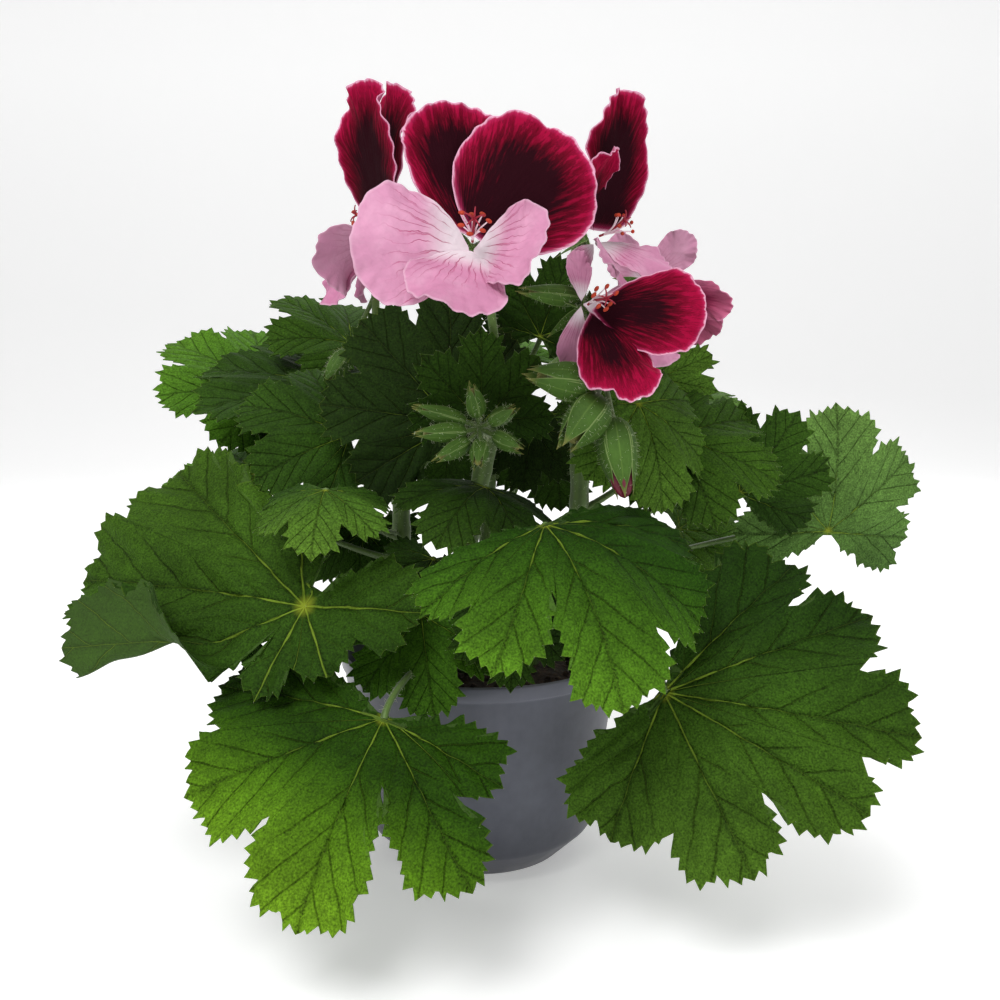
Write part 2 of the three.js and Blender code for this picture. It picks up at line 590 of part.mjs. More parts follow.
function pot() {
  const lip = RIM_RADIUS - RIM_STEP;
  const slope = (lip - SHOULDER_RADIUS) / (POT_HEIGHT - RIM_DEPTH - SHOULDER_HEIGHT);
  const underLip = SHOULDER_RADIUS + slope * (POT_HEIGHT - RIM_DEPTH - SHOULDER_HEIGHT);
  let shell = lathe([
    [0, 0], [FOOT_RADIUS, 0], [SHOULDER_RADIUS, SHOULDER_HEIGHT],
    [underLip, POT_HEIGHT - RIM_DEPTH], [RIM_RADIUS, POT_HEIGHT - RIM_DEPTH + RIM_STEP],
    [RIM_RADIUS, POT_HEIGHT], [lip - WALL, POT_HEIGHT],
    [SHOULDER_RADIUS - WALL, SHOULDER_HEIGHT], [FOOT_RADIUS - WALL, FLOOR], [0, FLOOR],
  ], POT_SIDES);
  for (let index = 0; index < DRAINS; index += 1) {
    const angle = (index / DRAINS) * Math.PI * 2;
    const drill = new THREE.CylinderGeometry(DRAIN_RADIUS, DRAIN_RADIUS, FLOOR * 4, DRILL_SIDES);
    drill.rotateX(Math.PI / 2);
    drill.translate(DRAIN_RING * Math.cos(angle), DRAIN_RING * Math.sin(angle), FLOOR / 2);
    shell = shell.subtract(solid(drill));
  }
  return shell;
}

// A closed spindle from a base to a tip, widest a third of the way along
function spindle(base, tip, radius, profile, sides) {
  const axis = vector(tip).sub(vector(base));
  const length = axis.length();
  const points = profile.map(([across, along]) => new THREE.Vector2(across * radius, along * length));
  const geometry = new THREE.LatheGeometry(points, sides);
  const turn = new THREE.Quaternion().setFromUnitVectors(new THREE.Vector3(0, 1, 0), axis.normalize());
  geometry.applyQuaternion(turn);
  geometry.translate(...base);
  return solid(geometry);
}

function ball(centre, radius) {
  return solid(new THREE.IcosahedronGeometry(radius).translate(...centre));
}

// The three axes of a bloom: the way it looks, its up side, and across
function bloomAxes(bloom) {
  const ahead = vector(bloom.face).normalize();
  const up = vector(bloom.up).projectOnPlane(ahead).normalize();
  return { ahead, up, across: up.clone().cross(ahead) };
}

function petalBody(bloom, kind) {
  return body(union([ball(petalBase(bloom, kind).toArray(), CLAW_RADIUS), ...petals(bloom, kind)]));
}

// Stamens and style: slim filaments fanned from one point in the throat, each with its anther
function stamens(bloom) {
  const { ahead, up, across } = bloomAxes(bloom);
  const base = vector(bloom.throat).addScaledVector(ahead, STAMEN_AHEAD);
  const parts = [ball(base.toArray(), STAMEN_ROOT)];
  for (let index = 0; index < STAMENS; index += 1) {
    const angle = (index / STAMENS) * Math.PI * 2;
    const aim = ahead.clone().addScaledVector(up, STAMEN_RISE + STAMEN_FAN * Math.sin(angle))
      .addScaledVector(across, STAMEN_FAN * Math.cos(angle)).normalize();
    const end = base.clone().addScaledVector(aim, STAMEN_LENGTH * (1 - STAMEN_STEP * (index % 3)));
    parts.push(tube(new THREE.LineCurve3(base, end), STAMEN_RADIUS, 1, 3));
    parts.push(solid(new THREE.OctahedronGeometry(ANTHER_RADIUS).translate(...end.toArray())));
  }
  return body(union(parts));
}

// The green back of a bloom: its pedicel, a small cup and five pointed sepals
function calyx(bloom, fork) {
  const { ahead, up, across } = bloomAxes(bloom);
  const centre = vector(bloom.throat).addScaledVector(ahead, -CALYX_BACK);
  const bend = centre.clone().addScaledVector(ahead, -SEPAL_LENGTH);
  const stalk = tube(new THREE.QuadraticBezierCurve3(fork, bend, centre), PEDICEL_RADIUS, 3);
  const parts = [stalk, ball(centre.toArray(), CALYX_RADIUS)];
  for (let index = 0; index < SEPALS; index += 1) {
    const angle = ((index + 0.5) / SEPALS) * Math.PI * 2;
    const aim = up.clone().multiplyScalar(Math.cos(angle)).addScaledVector(across, Math.sin(angle))
      .addScaledVector(ahead, -SEPAL_SWEEP).normalize();
    const tip = centre.clone().addScaledVector(aim, SEPAL_LENGTH);
    parts.push(spindle(centre.toArray(), tip.toArray(), SEPAL_RADIUS, SEPAL_PROFILE, 3));
  }
  return parts;
}

function flowerStalk(name) {
  const { route } = FLOWER_STALKS[name];
  const curve = new THREE.CatmullRomCurve3(route.map(vector));
  const fork = vector(route[route.length - 1]);
  const parts = [tube(curve, FLOWER_STALK_RADIUS, 3, 5)];
  for (const bloom of BLOOMS.filter((one) => one.stalk === name)) {
    parts.push(...calyx(bloom, fork));
  }
  for (const bud of BUDS.filter((one) => one.stalk === name)) {
    const base = vector(bud.base);
    const inside = base.clone().lerp(vector(bud.tip), BUD_ROOT);
    parts.push(tube(new THREE.LineCurve3(fork, inside), PEDICEL_RADIUS, 1));
    const profile = bud.opening ? OPENING_PROFILE : BUD_PROFILE;
    parts.push(spindle(bud.base, bud.tip, bud.radius, profile, BUD_SIDES));
  }
  return parts;
}

// The dark petals at the end of an opening bud, just clear of its green calyx
function budPetals(bud) {
  const axis = vector(bud.tip).sub(vector(bud.base));
  const start = vector(bud.base).addScaledVector(axis, OPENING + GAP / axis.length());
  return spindle(start.toArray(), bud.tip, bud.radius, BUD_PETAL_PROFILE, BUD_SIDES);
}

// Soil: a mounded plug in the pot with a plain hole for each stem
function soil() {
  const level = SOIL_LEVEL;
  const slope = (RIM_RADIUS - RIM_STEP - SHOULDER_RADIUS) / (POT_HEIGHT - SHOULDER_HEIGHT);
  const inside = (height) => SHOULDER_RADIUS - WALL + slope * (height - SHOULDER_HEIGHT) - GAP;
  let plug = lathe([
    [0, FLOOR + GAP], [FOOT_RADIUS - WALL - GAP, FLOOR + GAP],
    [SHOULDER_RADIUS - WALL - GAP * 2, SHOULDER_HEIGHT + GAP], [inside(level), level],
    [inside(level) * 0.75, level + SOIL_MOUND * 0.6], [inside(level) * 0.4, level + SOIL_MOUND],
    [0, level + SOIL_MOUND],
  ], SOIL_SIDES);
  for (const route of Object.values(STEMS)) {
    const radius = STEM_RADIUS + HOLE_CLEARANCE;
    const drill = new THREE.CylinderGeometry(radius, radius, DRILL_LENGTH, DRILL_SIDES).rotateX(Math.PI / 2);
    const [x, y, foot] = route[0];
    drill.translate(x, y, foot - GAP + DRILL_LENGTH / 2);
    plug = plug.subtract(solid(drill));
  }
  return plug;
}

const plant = new THREE.Group();

function add(name, shape, color, roughness) {
  const material = new THREE.MeshStandardMaterial({ color, roughness, metalness: 0, side: THREE.DoubleSide });
  const mesh = new THREE.Mesh(geometryOf(shape), material);
  mesh.name = name;
  plant.add(mesh);
}

add('pot', pot(), POT_GREY, 0.55);
add('soil', soil(), SOIL_BROWN, 1);
for (const name of Object.keys(STEMS)) {
  add(`leafy_stem_${name}`, leafyStem(name), LEAF_GREEN, 0.6);
}
for (const bloom of BLOOMS) {
  add(`bloom_${bloom.name}_upper_petals`, petalBody(bloom, 'upper'), DARK_PETAL, 0.6);
  add(`bloom_${bloom.name}_lower_petals`, petalBody(bloom, 'lower'), PALE_PETAL, 0.6);
  add(`bloom_${bloom.name}_stamens`, stamens(bloom), STAMEN_RED, 0.5);
}
for (const bud of BUDS.filter((one) => one.opening)) {
  add('opening_bud_petals', budPetals(bud), DARK_PETAL, 0.6);
}

export default plant;
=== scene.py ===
"""A regal pelargonium in its nursery pot, laid out as an add-on that grows the plant over its frame."""

from collections import namedtuple

import bpy
import numpy as np
from bpy.props import FloatProperty, FloatVectorProperty, IntProperty, PointerProperty
from mathutils import Matrix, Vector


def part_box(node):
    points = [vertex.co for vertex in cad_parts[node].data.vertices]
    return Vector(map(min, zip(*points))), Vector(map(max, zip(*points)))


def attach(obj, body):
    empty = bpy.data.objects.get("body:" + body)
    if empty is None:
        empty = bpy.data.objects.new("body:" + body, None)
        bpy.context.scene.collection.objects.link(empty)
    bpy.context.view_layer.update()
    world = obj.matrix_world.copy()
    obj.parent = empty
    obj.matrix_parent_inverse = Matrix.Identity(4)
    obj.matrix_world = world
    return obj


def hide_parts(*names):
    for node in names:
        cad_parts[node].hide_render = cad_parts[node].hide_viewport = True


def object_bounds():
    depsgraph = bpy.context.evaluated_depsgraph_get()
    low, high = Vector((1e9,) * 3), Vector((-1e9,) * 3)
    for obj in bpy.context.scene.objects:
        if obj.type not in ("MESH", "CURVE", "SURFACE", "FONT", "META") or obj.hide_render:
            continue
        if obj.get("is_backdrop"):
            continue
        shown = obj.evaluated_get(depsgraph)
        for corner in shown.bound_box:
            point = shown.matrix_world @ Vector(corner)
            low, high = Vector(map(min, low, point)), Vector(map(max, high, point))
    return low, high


bl_info = {
    "name": "Potted Pelargonium",
    "version": (1, 0, 0),
    "blender": (4, 5, 0),
    "location": "View3D > Sidebar > Pelargonium",
    "description": "Grows a regal pelargonium in a nursery pot: leaves, stems, buds, blooms, pot and soil",
    "category": "Add Mesh",
}

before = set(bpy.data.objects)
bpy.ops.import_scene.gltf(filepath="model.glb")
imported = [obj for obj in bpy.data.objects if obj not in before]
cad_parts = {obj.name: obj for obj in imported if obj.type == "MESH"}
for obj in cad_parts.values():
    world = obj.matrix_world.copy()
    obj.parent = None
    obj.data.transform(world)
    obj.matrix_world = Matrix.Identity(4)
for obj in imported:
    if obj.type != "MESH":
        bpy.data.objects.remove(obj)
CAD_BOX = [list(corner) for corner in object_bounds()]
POT_HIGH = np.array(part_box("pot")[1]) * 1000
SOIL_HIGH = np.array(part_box("soil")[1]) * 1000

# All the plant's own places and sizes below are millimetres, and a mesh gets metres at the end
METRE = 0.001
RANDOM = np.random.default_rng(7)

Outline = namedtuple("Outline", "ends lobes fold", defaults=(None,))
Leaf = namedtuple("Leaf", "stem start outline bend arch at tip face green approach rise glow",
                  defaults=(0.4, 0, (0.3, 0)))
Bud = namedtuple("Bud", "stalk base tip radius opening", defaults=(False,))
Bloom = namedtuple("Bloom", "name stalk throat face up upper lower")
Part = namedtuple("Part", "points faces detail tint slot")

# Leaf outlines: the blade's two end angles, then its lobes as (angle from the tip, length, cut after the
# lobe), with lengths as shares of the leaf's own. A fold is the line that a lobe is turned back over, and
# the angle at which that lobe ends.
OUTLINES = {
    "round": Outline((-134, 134), [
        (-96, 0.76, 0.2), (-48, 0.92, 0.22), (0, 1, 0.22), (48, 0.92, 0.2), (96, 0.76, 0)]),
    "fan": Outline((-112, 112), [
        (-80, 0.8, 0.16), (-40, 0.95, 0.18), (0, 1, 0.18), (40, 0.95, 0.16), (80, 0.8, 0)]),
    "front": Outline((-100, 112), [
        (-74, 0.74, 0.16), (-36, 0.86, 0.44), (0, 1, 0.18), (40, 0.95, 0.16), (80, 0.8, 0)]),
    "lowLeft": Outline((-110, 116), [
        (-80, 0.88, 0.1), (-43, 0.94, 0.26), (7, 0.97, 0.56), (55, 0.88, 0.22), (86, 0.62, 0)]),
    "lowRight": Outline((-142, 86), [
        (-102, 0.62, 0.14), (-55, 0.77, 0.28), (-21, 0.89, 0.1), (0, 0.97, 0.12), (31, 0.88, 0.2),
        (57, 0.8, 0)]),
    "left": Outline((-100, 226), [
        (-72, 0.42, 0.1), (-38, 0.94, 0.08), (-6, 1.02, 0.1), (28, 0.9, 0.66), (74, 0.34, 0.12),
        (120, 0.28, 0.2), (182, 0.42, 0)], (16, 49)),
}

# The leaves' greens, as screen colours from 0 to 255. Each holds a leaf's own tone with painted light and
# shade in it: the darker greens go to leaves that lie in the shade of others, the lighter ones to leaves in
# the light
GREENS = {
    "deep": (27, 46, 9),
    "shaded": (35, 60, 10),
    "dark": (42, 70, 15),
    "middle": (50, 80, 17),
    "fresh": (60, 96, 13),
    "spring": (53, 90, 15),
    "light": (70, 104, 30),
    "pale": (78, 122, 30),
    "greyish": (92, 128, 58),
}

# Every leaf: its stem, the height its stalk leaves it at, its outline, its droop along and across in
# degrees, its junction, its tip, the way its upper side faces and its green. Approach and rise shape the
# stalk's arrival, and the last is painted light and shade: how much lighter the green is painted towards
# the tip, and lighter or darker to one side, as light falls on the leaf.
LEAVES = [
    Leaf("front", 84, "lowLeft", 24, 14, (-27, -75, 71), (-54, -106, 26), (-0.1, -0.6, 0.6), "fresh",
         approach=0.1, rise=14, glow=(3.2, 0)),
    Leaf("right", 84, "lowRight", 14, 22, (57, -60, 74), (126, -82, 68), (0.1, -0.9, 0.5), "middle",
         approach=0.1, rise=14, glow=(0.3, -1.1)),
    Leaf("left", 80, "left", 16, 14, (-53, -56, 100), (-136, -25, 93), (-0.1, -0.8, 0.6), "middle",
         glow=(0.2, -0.7)),
    Leaf("front", 100, "front", 70, 50, (20, -68, 127), (39, -100, 82), (0.1, -0.6, 0.7), "spring",
         glow=(1.6, -0.9)),
    Leaf("front", 82, "round", 20, 30, (-18, -46, 95), (-13, -64, 68), (-0.1, -0.9, 0.3), "spring"),
    Leaf("front", 78, "round", 20, 30, (10, -54, 99), (10, -62, 76), (0.2, -0.9, 0.3), "shaded"),
    Leaf("left", 112, "round", 50, 50, (-47, -50, 135), (-48, -70, 118), (0, -0.5, 0.7), "light",
         approach=0.2, glow=(0.8, 0)),
    Leaf("front", 118, "round", 60, 40, (2, -34, 134), (-12, -60, 119), (0, -0.55, 0.8), "shaded",
         glow=(0.6, 0)),
    Leaf("left", 130, "fan", 20, 20, (-9, -20, 154), (-40, -14, 188), (0.1, -1, 0.2), "deep"),
    Leaf("left", 124, "round", 40, 50, (-45, -12, 149), (-82, -10, 159), (0, -0.7, 0.7), "dark"),
    Leaf("left", 136, "fan", 20, 20, (-52, 16, 164), (-104, 28, 170), (0, -0.35, 0.9), "dark"),
    Leaf("back", 118, "round", 20, 20, (-83, 38, 163), (-123, 48, 181), (0.2, -0.5, 0.85), "pale"),
    Leaf("left", 104, "round", 40, 40, (-82, 8, 134), (-118, 16, 128), (-0.1, -0.4, 0.9), "pale"),
    Leaf("left", 140, "round", 30, 30, (-50, 34, 181), (-79, 44, 198), (0.1, -0.4, 0.85), "middle"),
    Leaf("right", 128, "round", 40, 40, (51, -34, 161), (58, -42, 127), (0.5, -0.9, 0.3), "light"),
    Leaf("right", 122, "round", 30, 30, (65, -18, 149), (100, -22, 134), (0.1, -0.7, 0.7), "middle"),
    Leaf("right", 138, "fan", 10, 10, (64, 12, 168), (84, 14, 177), (0, -0.8, 0.6), "light"),
    Leaf("right", 112, "fan", 24, 24, (94, 8, 127), (112, 2, 156), (0.2, -0.9, 0.4), "dark"),
    Leaf("right", 96, "round", 30, 20, (129, 16, 112), (131, 18, 158), (0.2, -0.9, 0.3), "greyish"),
    Leaf("back", 138, "fan", 30, 20, (74, 30, 159), (99, 26, 156), (0, -0.25, 0.95), "greyish"),
    Leaf("front", 94, "round", 30, 30, (-16, -20, 108), (-23, -36, 93), (0, -0.9, 0.4), "shaded"),
    Leaf("front", 130, "fan", 10, -30, (1, -36, 155), (1, -42, 184), (0, -1, 0), "shaded"),
    Leaf("back", 84, "round", 30, 20, (-18, 66, 90), (-24, 106, 62), (-0.1, 0.6, 0.7), "spring"),
    Leaf("back", 90, "round", 30, 20, (46, 60, 102), (82, 90, 84), (0.2, 0.5, 0.8), "light"),
    Leaf("left", 92, "round", 30, 24, (-66, 46, 106), (-108, 68, 96), (-0.2, 0.4, 0.9), "spring"),
    Leaf("right", 88, "fan", 30, 20, (76, 32, 110), (110, 44, 98), (0.2, -0.6, 0.8), "light"),
    Leaf("back", 110, "round", 40, 30, (4, 58, 132), (-2, 94, 124), (0, 0.4, 0.9), "light"),
    Leaf("back", 124, "round", 30, 30, (-34, 48, 150), (-58, 78, 150), (-0.1, 0.4, 0.9), "light"),
    Leaf("back", 130, "round", 30, 30, (40, 46, 148), (66, 74, 144), (0.2, 0.3, 0.9), "light"),
    Leaf("back", 150, "fan", 30, 20, (4, 44, 176), (8, 74, 180), (0, 0.3, 0.9), "pale"),
    Leaf("back", 100, "round", 20, 20, (26, 38, 154), (30, 28, 118), (0.1, -0.9, 0.3), "shaded"),
    Leaf("back", 104, "round", 20, 20, (-12, 36, 146), (-15, 29, 120), (-0.1, -0.9, 0.3), "shaded"),
    Leaf("back", 140, "round", 30, 30, (-8, 56, 167), (-10, 72, 143), (-0.1, 0.8, 0.5), "spring"),
    Leaf("back", 144, "round", 20, 20, (22, 30, 184), (32, 22, 212), (0, -0.9, 0.3), "shaded"),
    Leaf("left", 80, "round", 20, 20, (-43, 10, 113), (-45, 2, 87), (-0.1, -0.9, 0.3), "dark"),
    Leaf("back", 96, "fan", 20, 20, (18, 8, 152), (15, 2, 128), (0, -0.9, 0.3), "deep"),
]

# Main stems from the soil up, and the flower stalks with the stem each leaves
STEMS = {
    "front": [(-4, -12, 50), (-4, -12, 68), (-6, -18, 94), (-2, -22, 124), (4, -22, 152)],
    "left": [(-18, 4, 50), (-18, 4, 68), (-26, 0, 94), (-28, -4, 122), (-24, -4, 150)],
    "right": [(18, 2, 50), (18, 2, 68), (28, -4, 94), (34, -8, 122), (34, -10, 152)],
    "back": [(2, 18, 50), (2, 18, 68), (2, 25, 94), (2, 30, 124), (2, 30, 158)],
}
FLOWER_STALKS = {
    "front": ("front", [(3, -22, 148), (6, -30, 170), (4, -40, 190)]),
    "left": ("left", [(-25, -4, 146), (-36, 4, 176), (-37, 4, 198)]),
    "right": ("right", [(34, -10, 148), (38, -14, 168), (38, -20, 182)]),
    "rear": ("back", [(2, 30, 154), (30, 24, 176), (46, 16, 188)]),
    "young": ("front", [(4, -22, 150), (2, -34, 152), (0, -42, 154)]),
}

# Buds: stalk, base, tip and radius. The opening one ends in dark petals.
BUDS = [
    Bud("right", (35, -54, 167), (14, -60, 171), 4.6),
    Bud("right", (37, -56, 163), (25, -64, 149), 5.2),
    Bud("right", (41, -54, 157), (44, -60, 134), 4.8, opening=True),
    Bud("right", (32, -36, 194), (12, -44, 196), 2.6),
    Bud("left", (-48, 10, 178), (-56, 6, 166), 3),
    Bud("rear", (40, 30, 190), (34, 40, 180), 4),
    Bud("young", (-4, -46, 156), (-20, -50, 161), 2.2),
    Bud("young", (-4, -48, 153), (-19, -56, 153), 2.4),
    Bud("young", (-3, -49, 150), (-13, -58, 145), 2.2),
    Bud("young", (1, -50, 150), (0, -60, 143), 2.4),
    Bud("young", (5, -49, 152), (14, -57, 148), 2.2),
    Bud("young", (4, -48, 156), (12, -54, 161), 2.2),
    Bud("young", (0, -47, 158), (-2, -54, 168), 2.4),
]

# Open blooms: name, stalk, throat, the way it looks and its up side, then its upper and its lower petals as
# (tip, half width, arch across, bend along, twist, how slowly the claw widens, how dark it is)
BLOOMS = [
    Bloom("front", "front", (-1, -68, 207), (0.05, -0.95, 0.3), (0.1, 0.3, 1),
          [((-9, -56, 249), 0.44, -50, -10, 10, 0.3, 0.97), ((26, -64, 237), 0.62, 24, 10, 0, 0.1, 0.8)],
          [((-34, -78, 207), 0.64, 14, 24, 0, 0.3, 0.1), ((-7, -94, 189), 0.6, 24, 24, 0, 0.4, 0.3),
           ((18, -86, 205), 0.68, -60, -10, 0, 0.4, 0.15)]),
    Bloom("left", "left", (-31, -8, 218), (-0.85, -0.4, 0.2), (0.1, 0, 1),
          [((-40, -12, 266), 0.33, -30, 20, 20, -0.2, 0.7), ((-32, 6, 268), 0.36, -40, 20, 30, 0.3, 0.75)],
          [((-52, -22, 203), 0.6, 10, 20, 70, 0.5, 0.5), ((-54, 2, 196), 0.44, 30, 40, 0, 0.5, 0.5),
           ((-46, 20, 202), 0.44, 30, 40, 0, 0.5, 0.5)]),
    Bloom("right", "right", (37, -24, 214), (0.8, -0.55, 0.2), (0, 0, 1),
          [((45, -30, 259), 0.28, -60, 10, -20, -0.3, 0.9),
           ((42, -42, 238), 0.34, -80, -40, -20, 0.5, 0.3)],
          [((61, -32, 203), 0.5, 30, 30, 0, 0.5, 0.25), ((43, -44, 201), 0.5, 30, 30, 0, 0.5, 0.3),
           ((30, -32, 202), 0.46, 30, 20, 0, 0.5, 0.2)]),
    Bloom("low", "right", (33, -44, 191), (0.3, -0.9, 0.3), (0.7, 0, -0.6),
          [((68, -56, 189), 0.5, 20, 14, 0, 0.4, 0.5), ((45, -66, 163), 0.46, 20, 14, 0, 0.5, 0.45)],
          [((27, -46, 172), 0.3, 20, 10, 0, 0.5, 0.2), ((31, -35, 209), 0.3, 20, 10, 0, 0.5, 0.2),
           ((64, -10, 181), 0.34, 20, 10, 0, 0.5, 0.3)]),
    Bloom("rear", "rear", (60, 10, 202), (0.5, 0.8, 0.3), (0.85, -0.3, -0.5),
          [((87, -4, 193), 0.3, 20, 10, 0, 0.5, 0.3), ((86, 22, 184), 0.4, 20, 14, 0, 0.5, 0.4)],
          [((74, 2, 218), 0.4, 20, 24, 0, 0.5, 0.3), ((46, 28, 218), 0.44, 20, 24, 0, 0.5, 0.3),
           ((46, 32, 186), 0.4, 20, 24, 0, 0.5, 0.4)]),
]

# The leaf's form, in shares of the leaf's length. Side veins lean out from a main vein and stand a
# spacing apart, and those on one side of it are shifted by a share of the spacing. A tooth is four steps
# long, each with its place in the tooth and its height. The edge has a wider scallop for every few teeth.
LEAF_BASE, PLEAT, LEAF_WAVE, CRINKLE, QUILT = 0.1, 0.09, 0.03, 0.01, 0.012
SIDE_LEAN, SIDE_SPACING, SIDE_SHIFT = 1.45, 0.17, 0.4
TOOTH_PHASES, TOOTH_HEIGHTS = (0, 0.35, 0.7, 0.85), (0, 0.4, 1, 0.42)
SCALLOP, SCALLOP_TEETH = 0.05, 3.6
FOLD_ANGLE, FOLD_RADIUS, FOLD_FROM, FOLD_TO = np.radians(150), 0.05, 0.3, 0.62
LEAF_RING = 2.6  # millimetres from ring to ring of a blade's grid
FEWEST_RINGS = 9

# How a green's red, green and blue answer to the painted light and shade on it: as powers, so that a
# green painted lighter is yellower
YELLOWING = np.array([1.25, 1.0, 1.1])
# Painted light and shade on a leaf: where along it the green stays as it is, and its least and most scale
PAINTED_LIGHT_CENTRE, DIMMEST, BRIGHTEST = 0.4, 0.5, 2.6

# The petal's form, in shares of the petal's length
PETAL_CENTRE, PETAL_WAVE, PETAL_RUFFLE = 0.55, 0.05, 0.018
PETAL_RINGS = 16

# Places and lengths in a bloom or bud, in millimetres, and a bud's sizes in shares of its radius
PETAL_SPREAD, CLAW_OFFSET, CALYX_BACK = 1.6, 0.9, 2.6
SEPAL_LENGTH, SEPAL_WIDTH, SEPAL_SWEEP = 13, 1.7, 0.5
STYLE_BRANCHES = 5
STAMENS, STAMEN_AHEAD, STAMEN_LENGTH, STAMEN_FAN, ANTHER_RADIUS = 7, 2.1, 11, 0.4, 0.6
BUD_CORE, BUD_FLARE, SEPAL_BREADTH = 0.8, 0.3, 0.86
OPENING = 0.6  # the share of the opening bud that its petals start at
SEPALS = 5
YOUNG = 3  # a bud of a smaller radius is young

# Radii of the green parts in millimetres, and how many hairs each carries
STEM_RADIUS, PETIOLE_RADIUS, STALK_RADIUS, YOUNG_STALK_RADIUS = 3.2, 1.05, 1.4, 1.1
PEDICEL_RADIUS, BUD_STALK_RADIUS = 0.95, 0.85
STEM_HAIRS, STALK_HAIRS, PEDICEL_HAIRS, SEPAL_HAIRS = 500, 160, 140, 60
BUD_HAIRS, YOUNG_BUD_HAIRS = 70, 24

# The pot and the soil in millimetres
SHOULDER_RADIUS, SHOULDER_HEIGHT, FOOT_RADIUS, FLOOR, RIM_STEP = 40.6, 10.4, 30.6, 1.6, 0.9
DRAINS, DRAIN_RING, DRAIN_RADIUS = 6, 21, 3.5
SOIL_LEVEL, SOIL_SINK, SOIL_COLUMNS, SOIL_RINGS = 63.0, 1.2, 160, 60
SOIL_SKIRT = np.array([[38.4, 10.9], [28.8, 1.95]])  # (radius, height) of the soil's lower rings
CRUMB_REACH, CRUMB_SINK = 42, 0.9

# The camera in metres, its tilt down in radians and its lens, and each light as its place in metres, its
# share of the key light's power and its size. All lights look at one point above the pot.
CAMERA_PLACE, CAMERA_TILT, LENS, SENSOR = (0.0068, -0.370, 0.174), 0.13, 37.73, 36
LIGHTS = {"key": ((-0.4, -0.8, 1.25), 1.15, 0.7), "fill": ((0.9, -0.8, 0.6), 0.25, 0.9),
          "back": ((0.2, 0.9, 1.0), 0.4, 0.8)}
LIT_POINT = np.array([0, 0, 0.13])
SKY_STRENGTH, FLOOR_GLOW, FLOOR_SHADE = 0.4, 0.3, 0.985

# The floor in metres: its front edge, where it starts to sweep up, the sweep's radius, the backdrop's top
# and half the width
FLOOR_FRONT, SWEEP_START, SWEEP, BACKDROP_TOP, FLOOR_SIDE = -2.5, 1.2, 0.8, 3.0, 3.5


def linear(colour):
    """A 0 to 255 screen colour as linear light."""
    share = np.asarray(colour, float) / 255
    return np.where(share <= 0.04045, share / 12.92, ((share + 0.055) / 1.055) ** 2.4)


def unit(vectors):
    """Vectors divided by their lengths."""
    return vectors / np.maximum(np.linalg.norm(vectors, axis=-1, keepdims=True), 1e-9)


def across_of(vector, axis):
    """The part of a vector square to an axis, as a unit vector."""
    vector, axis = np.asarray(vector, float), unit(np.asarray(axis, float))
    return unit(vector - axis * (vector @ axis))


def smooth(value, low, high):
    """An eased step: three squares less two cubes of the value's share of the way from low to high."""
    share = np.clip((value - low) / (high - low), 0, 1)
    return share * share * (3 - 2 * share)


def curl(along, up, angle):
    """Rolls a strip about a line across it, on a circle of the given angle for each unit of its length."""
    if abs(angle) < 1e-4:
        return along, up
    radius = 1 / angle
    return (radius + up) * np.sin(along * angle), (radius + up) * np.cos(along * angle) - radius


def part(points, faces, slot=0, detail=None, tint=(1, 1, 1, 1)):
    """A piece of surface with four numbers of detail and a colour at each point."""
    points = np.asarray(points, float).reshape(-1, 3)
    detail = np.zeros((len(points), 4)) if detail is None else np.asarray(detail, float).reshape(-1, 4)
    tint = np.broadcast_to(np.asarray(tint, float), (len(points), 4)).copy()
    return Part(points, np.asarray(faces, int).reshape(-1, 3), detail, tint, slot)


def piece(name, parts, materials, node=None, sharp=50):
    """Joins parts into one mesh in metres, shades it smooth but for edges past an angle, and lets it ride."""
    starts = np.cumsum([0] + [len(one.points) for one in parts[:-1]])
    points = np.concatenate([one.points for one in parts]) * METRE
    faces = np.concatenate([one.faces + start for one, start in zip(parts, starts)])
    slots = np.concatenate([np.full(len(one.faces), one.slot) for one in parts])
    mesh = bpy.data.meshes.new(name)
    mesh.vertices.add(len(points))
    mesh.vertices.foreach_set("co", points.ravel())
    mesh.loops.add(faces.size)
    mesh.loops.foreach_set("vertex_index", faces.ravel())
    mesh.polygons.add(len(faces))
    mesh.polygons.foreach_set("loop_start", np.arange(0, faces.size, 3))
    mesh.polygons.foreach_set("material_index", slots)
    mesh.update(calc_edges=True)
    for label in ("detail", "tint"):
        values = np.concatenate([getattr(one, label) for one in parts])
        attribute = mesh.attributes.new(label, "FLOAT_COLOR", "POINT")
        attribute.data.foreach_set("color", values.ravel())
    mesh.polygons.foreach_set("use_smooth", np.ones(len(faces), bool))
    mesh.set_sharp_from_angle(angle=np.radians(sharp))
    for material in materials:
        mesh.materials.append(material)
    shape = bpy.data.objects.new(name, mesh)
    bpy.context.scene.collection.objects.link(shape)
    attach(shape, "root")
    if node is not None:
        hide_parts(node)
    return shape


def grid_faces(rows, columns, closed):
    """Triangles of a grid of points, row by row, joined round its columns where it is closed."""
    last = columns if closed else columns - 1
    row, column = np.meshgrid(np.arange(rows - 1), np.arange(last), indexing="ij")
    near, after = row * columns + column, row * columns + (column + 1) % columns
    quads = np.stack([near, near + columns, after + columns, after], -1).reshape(-1, 4)
    return np.concatenate([quads[:, [0, 1, 2]], quads[:, [0, 2, 3]]])


def disc_faces(rings, columns):
    """Triangles of a disc: point 0 is its centre, and its rings follow from the inside out."""
    column = np.arange(columns)
    fan = np.stack([np.zeros_like(column), 1 + column, 1 + (column + 1) % columns], -1)
    return np.concatenate([fan, grid_faces(rings, columns, True) + 1])


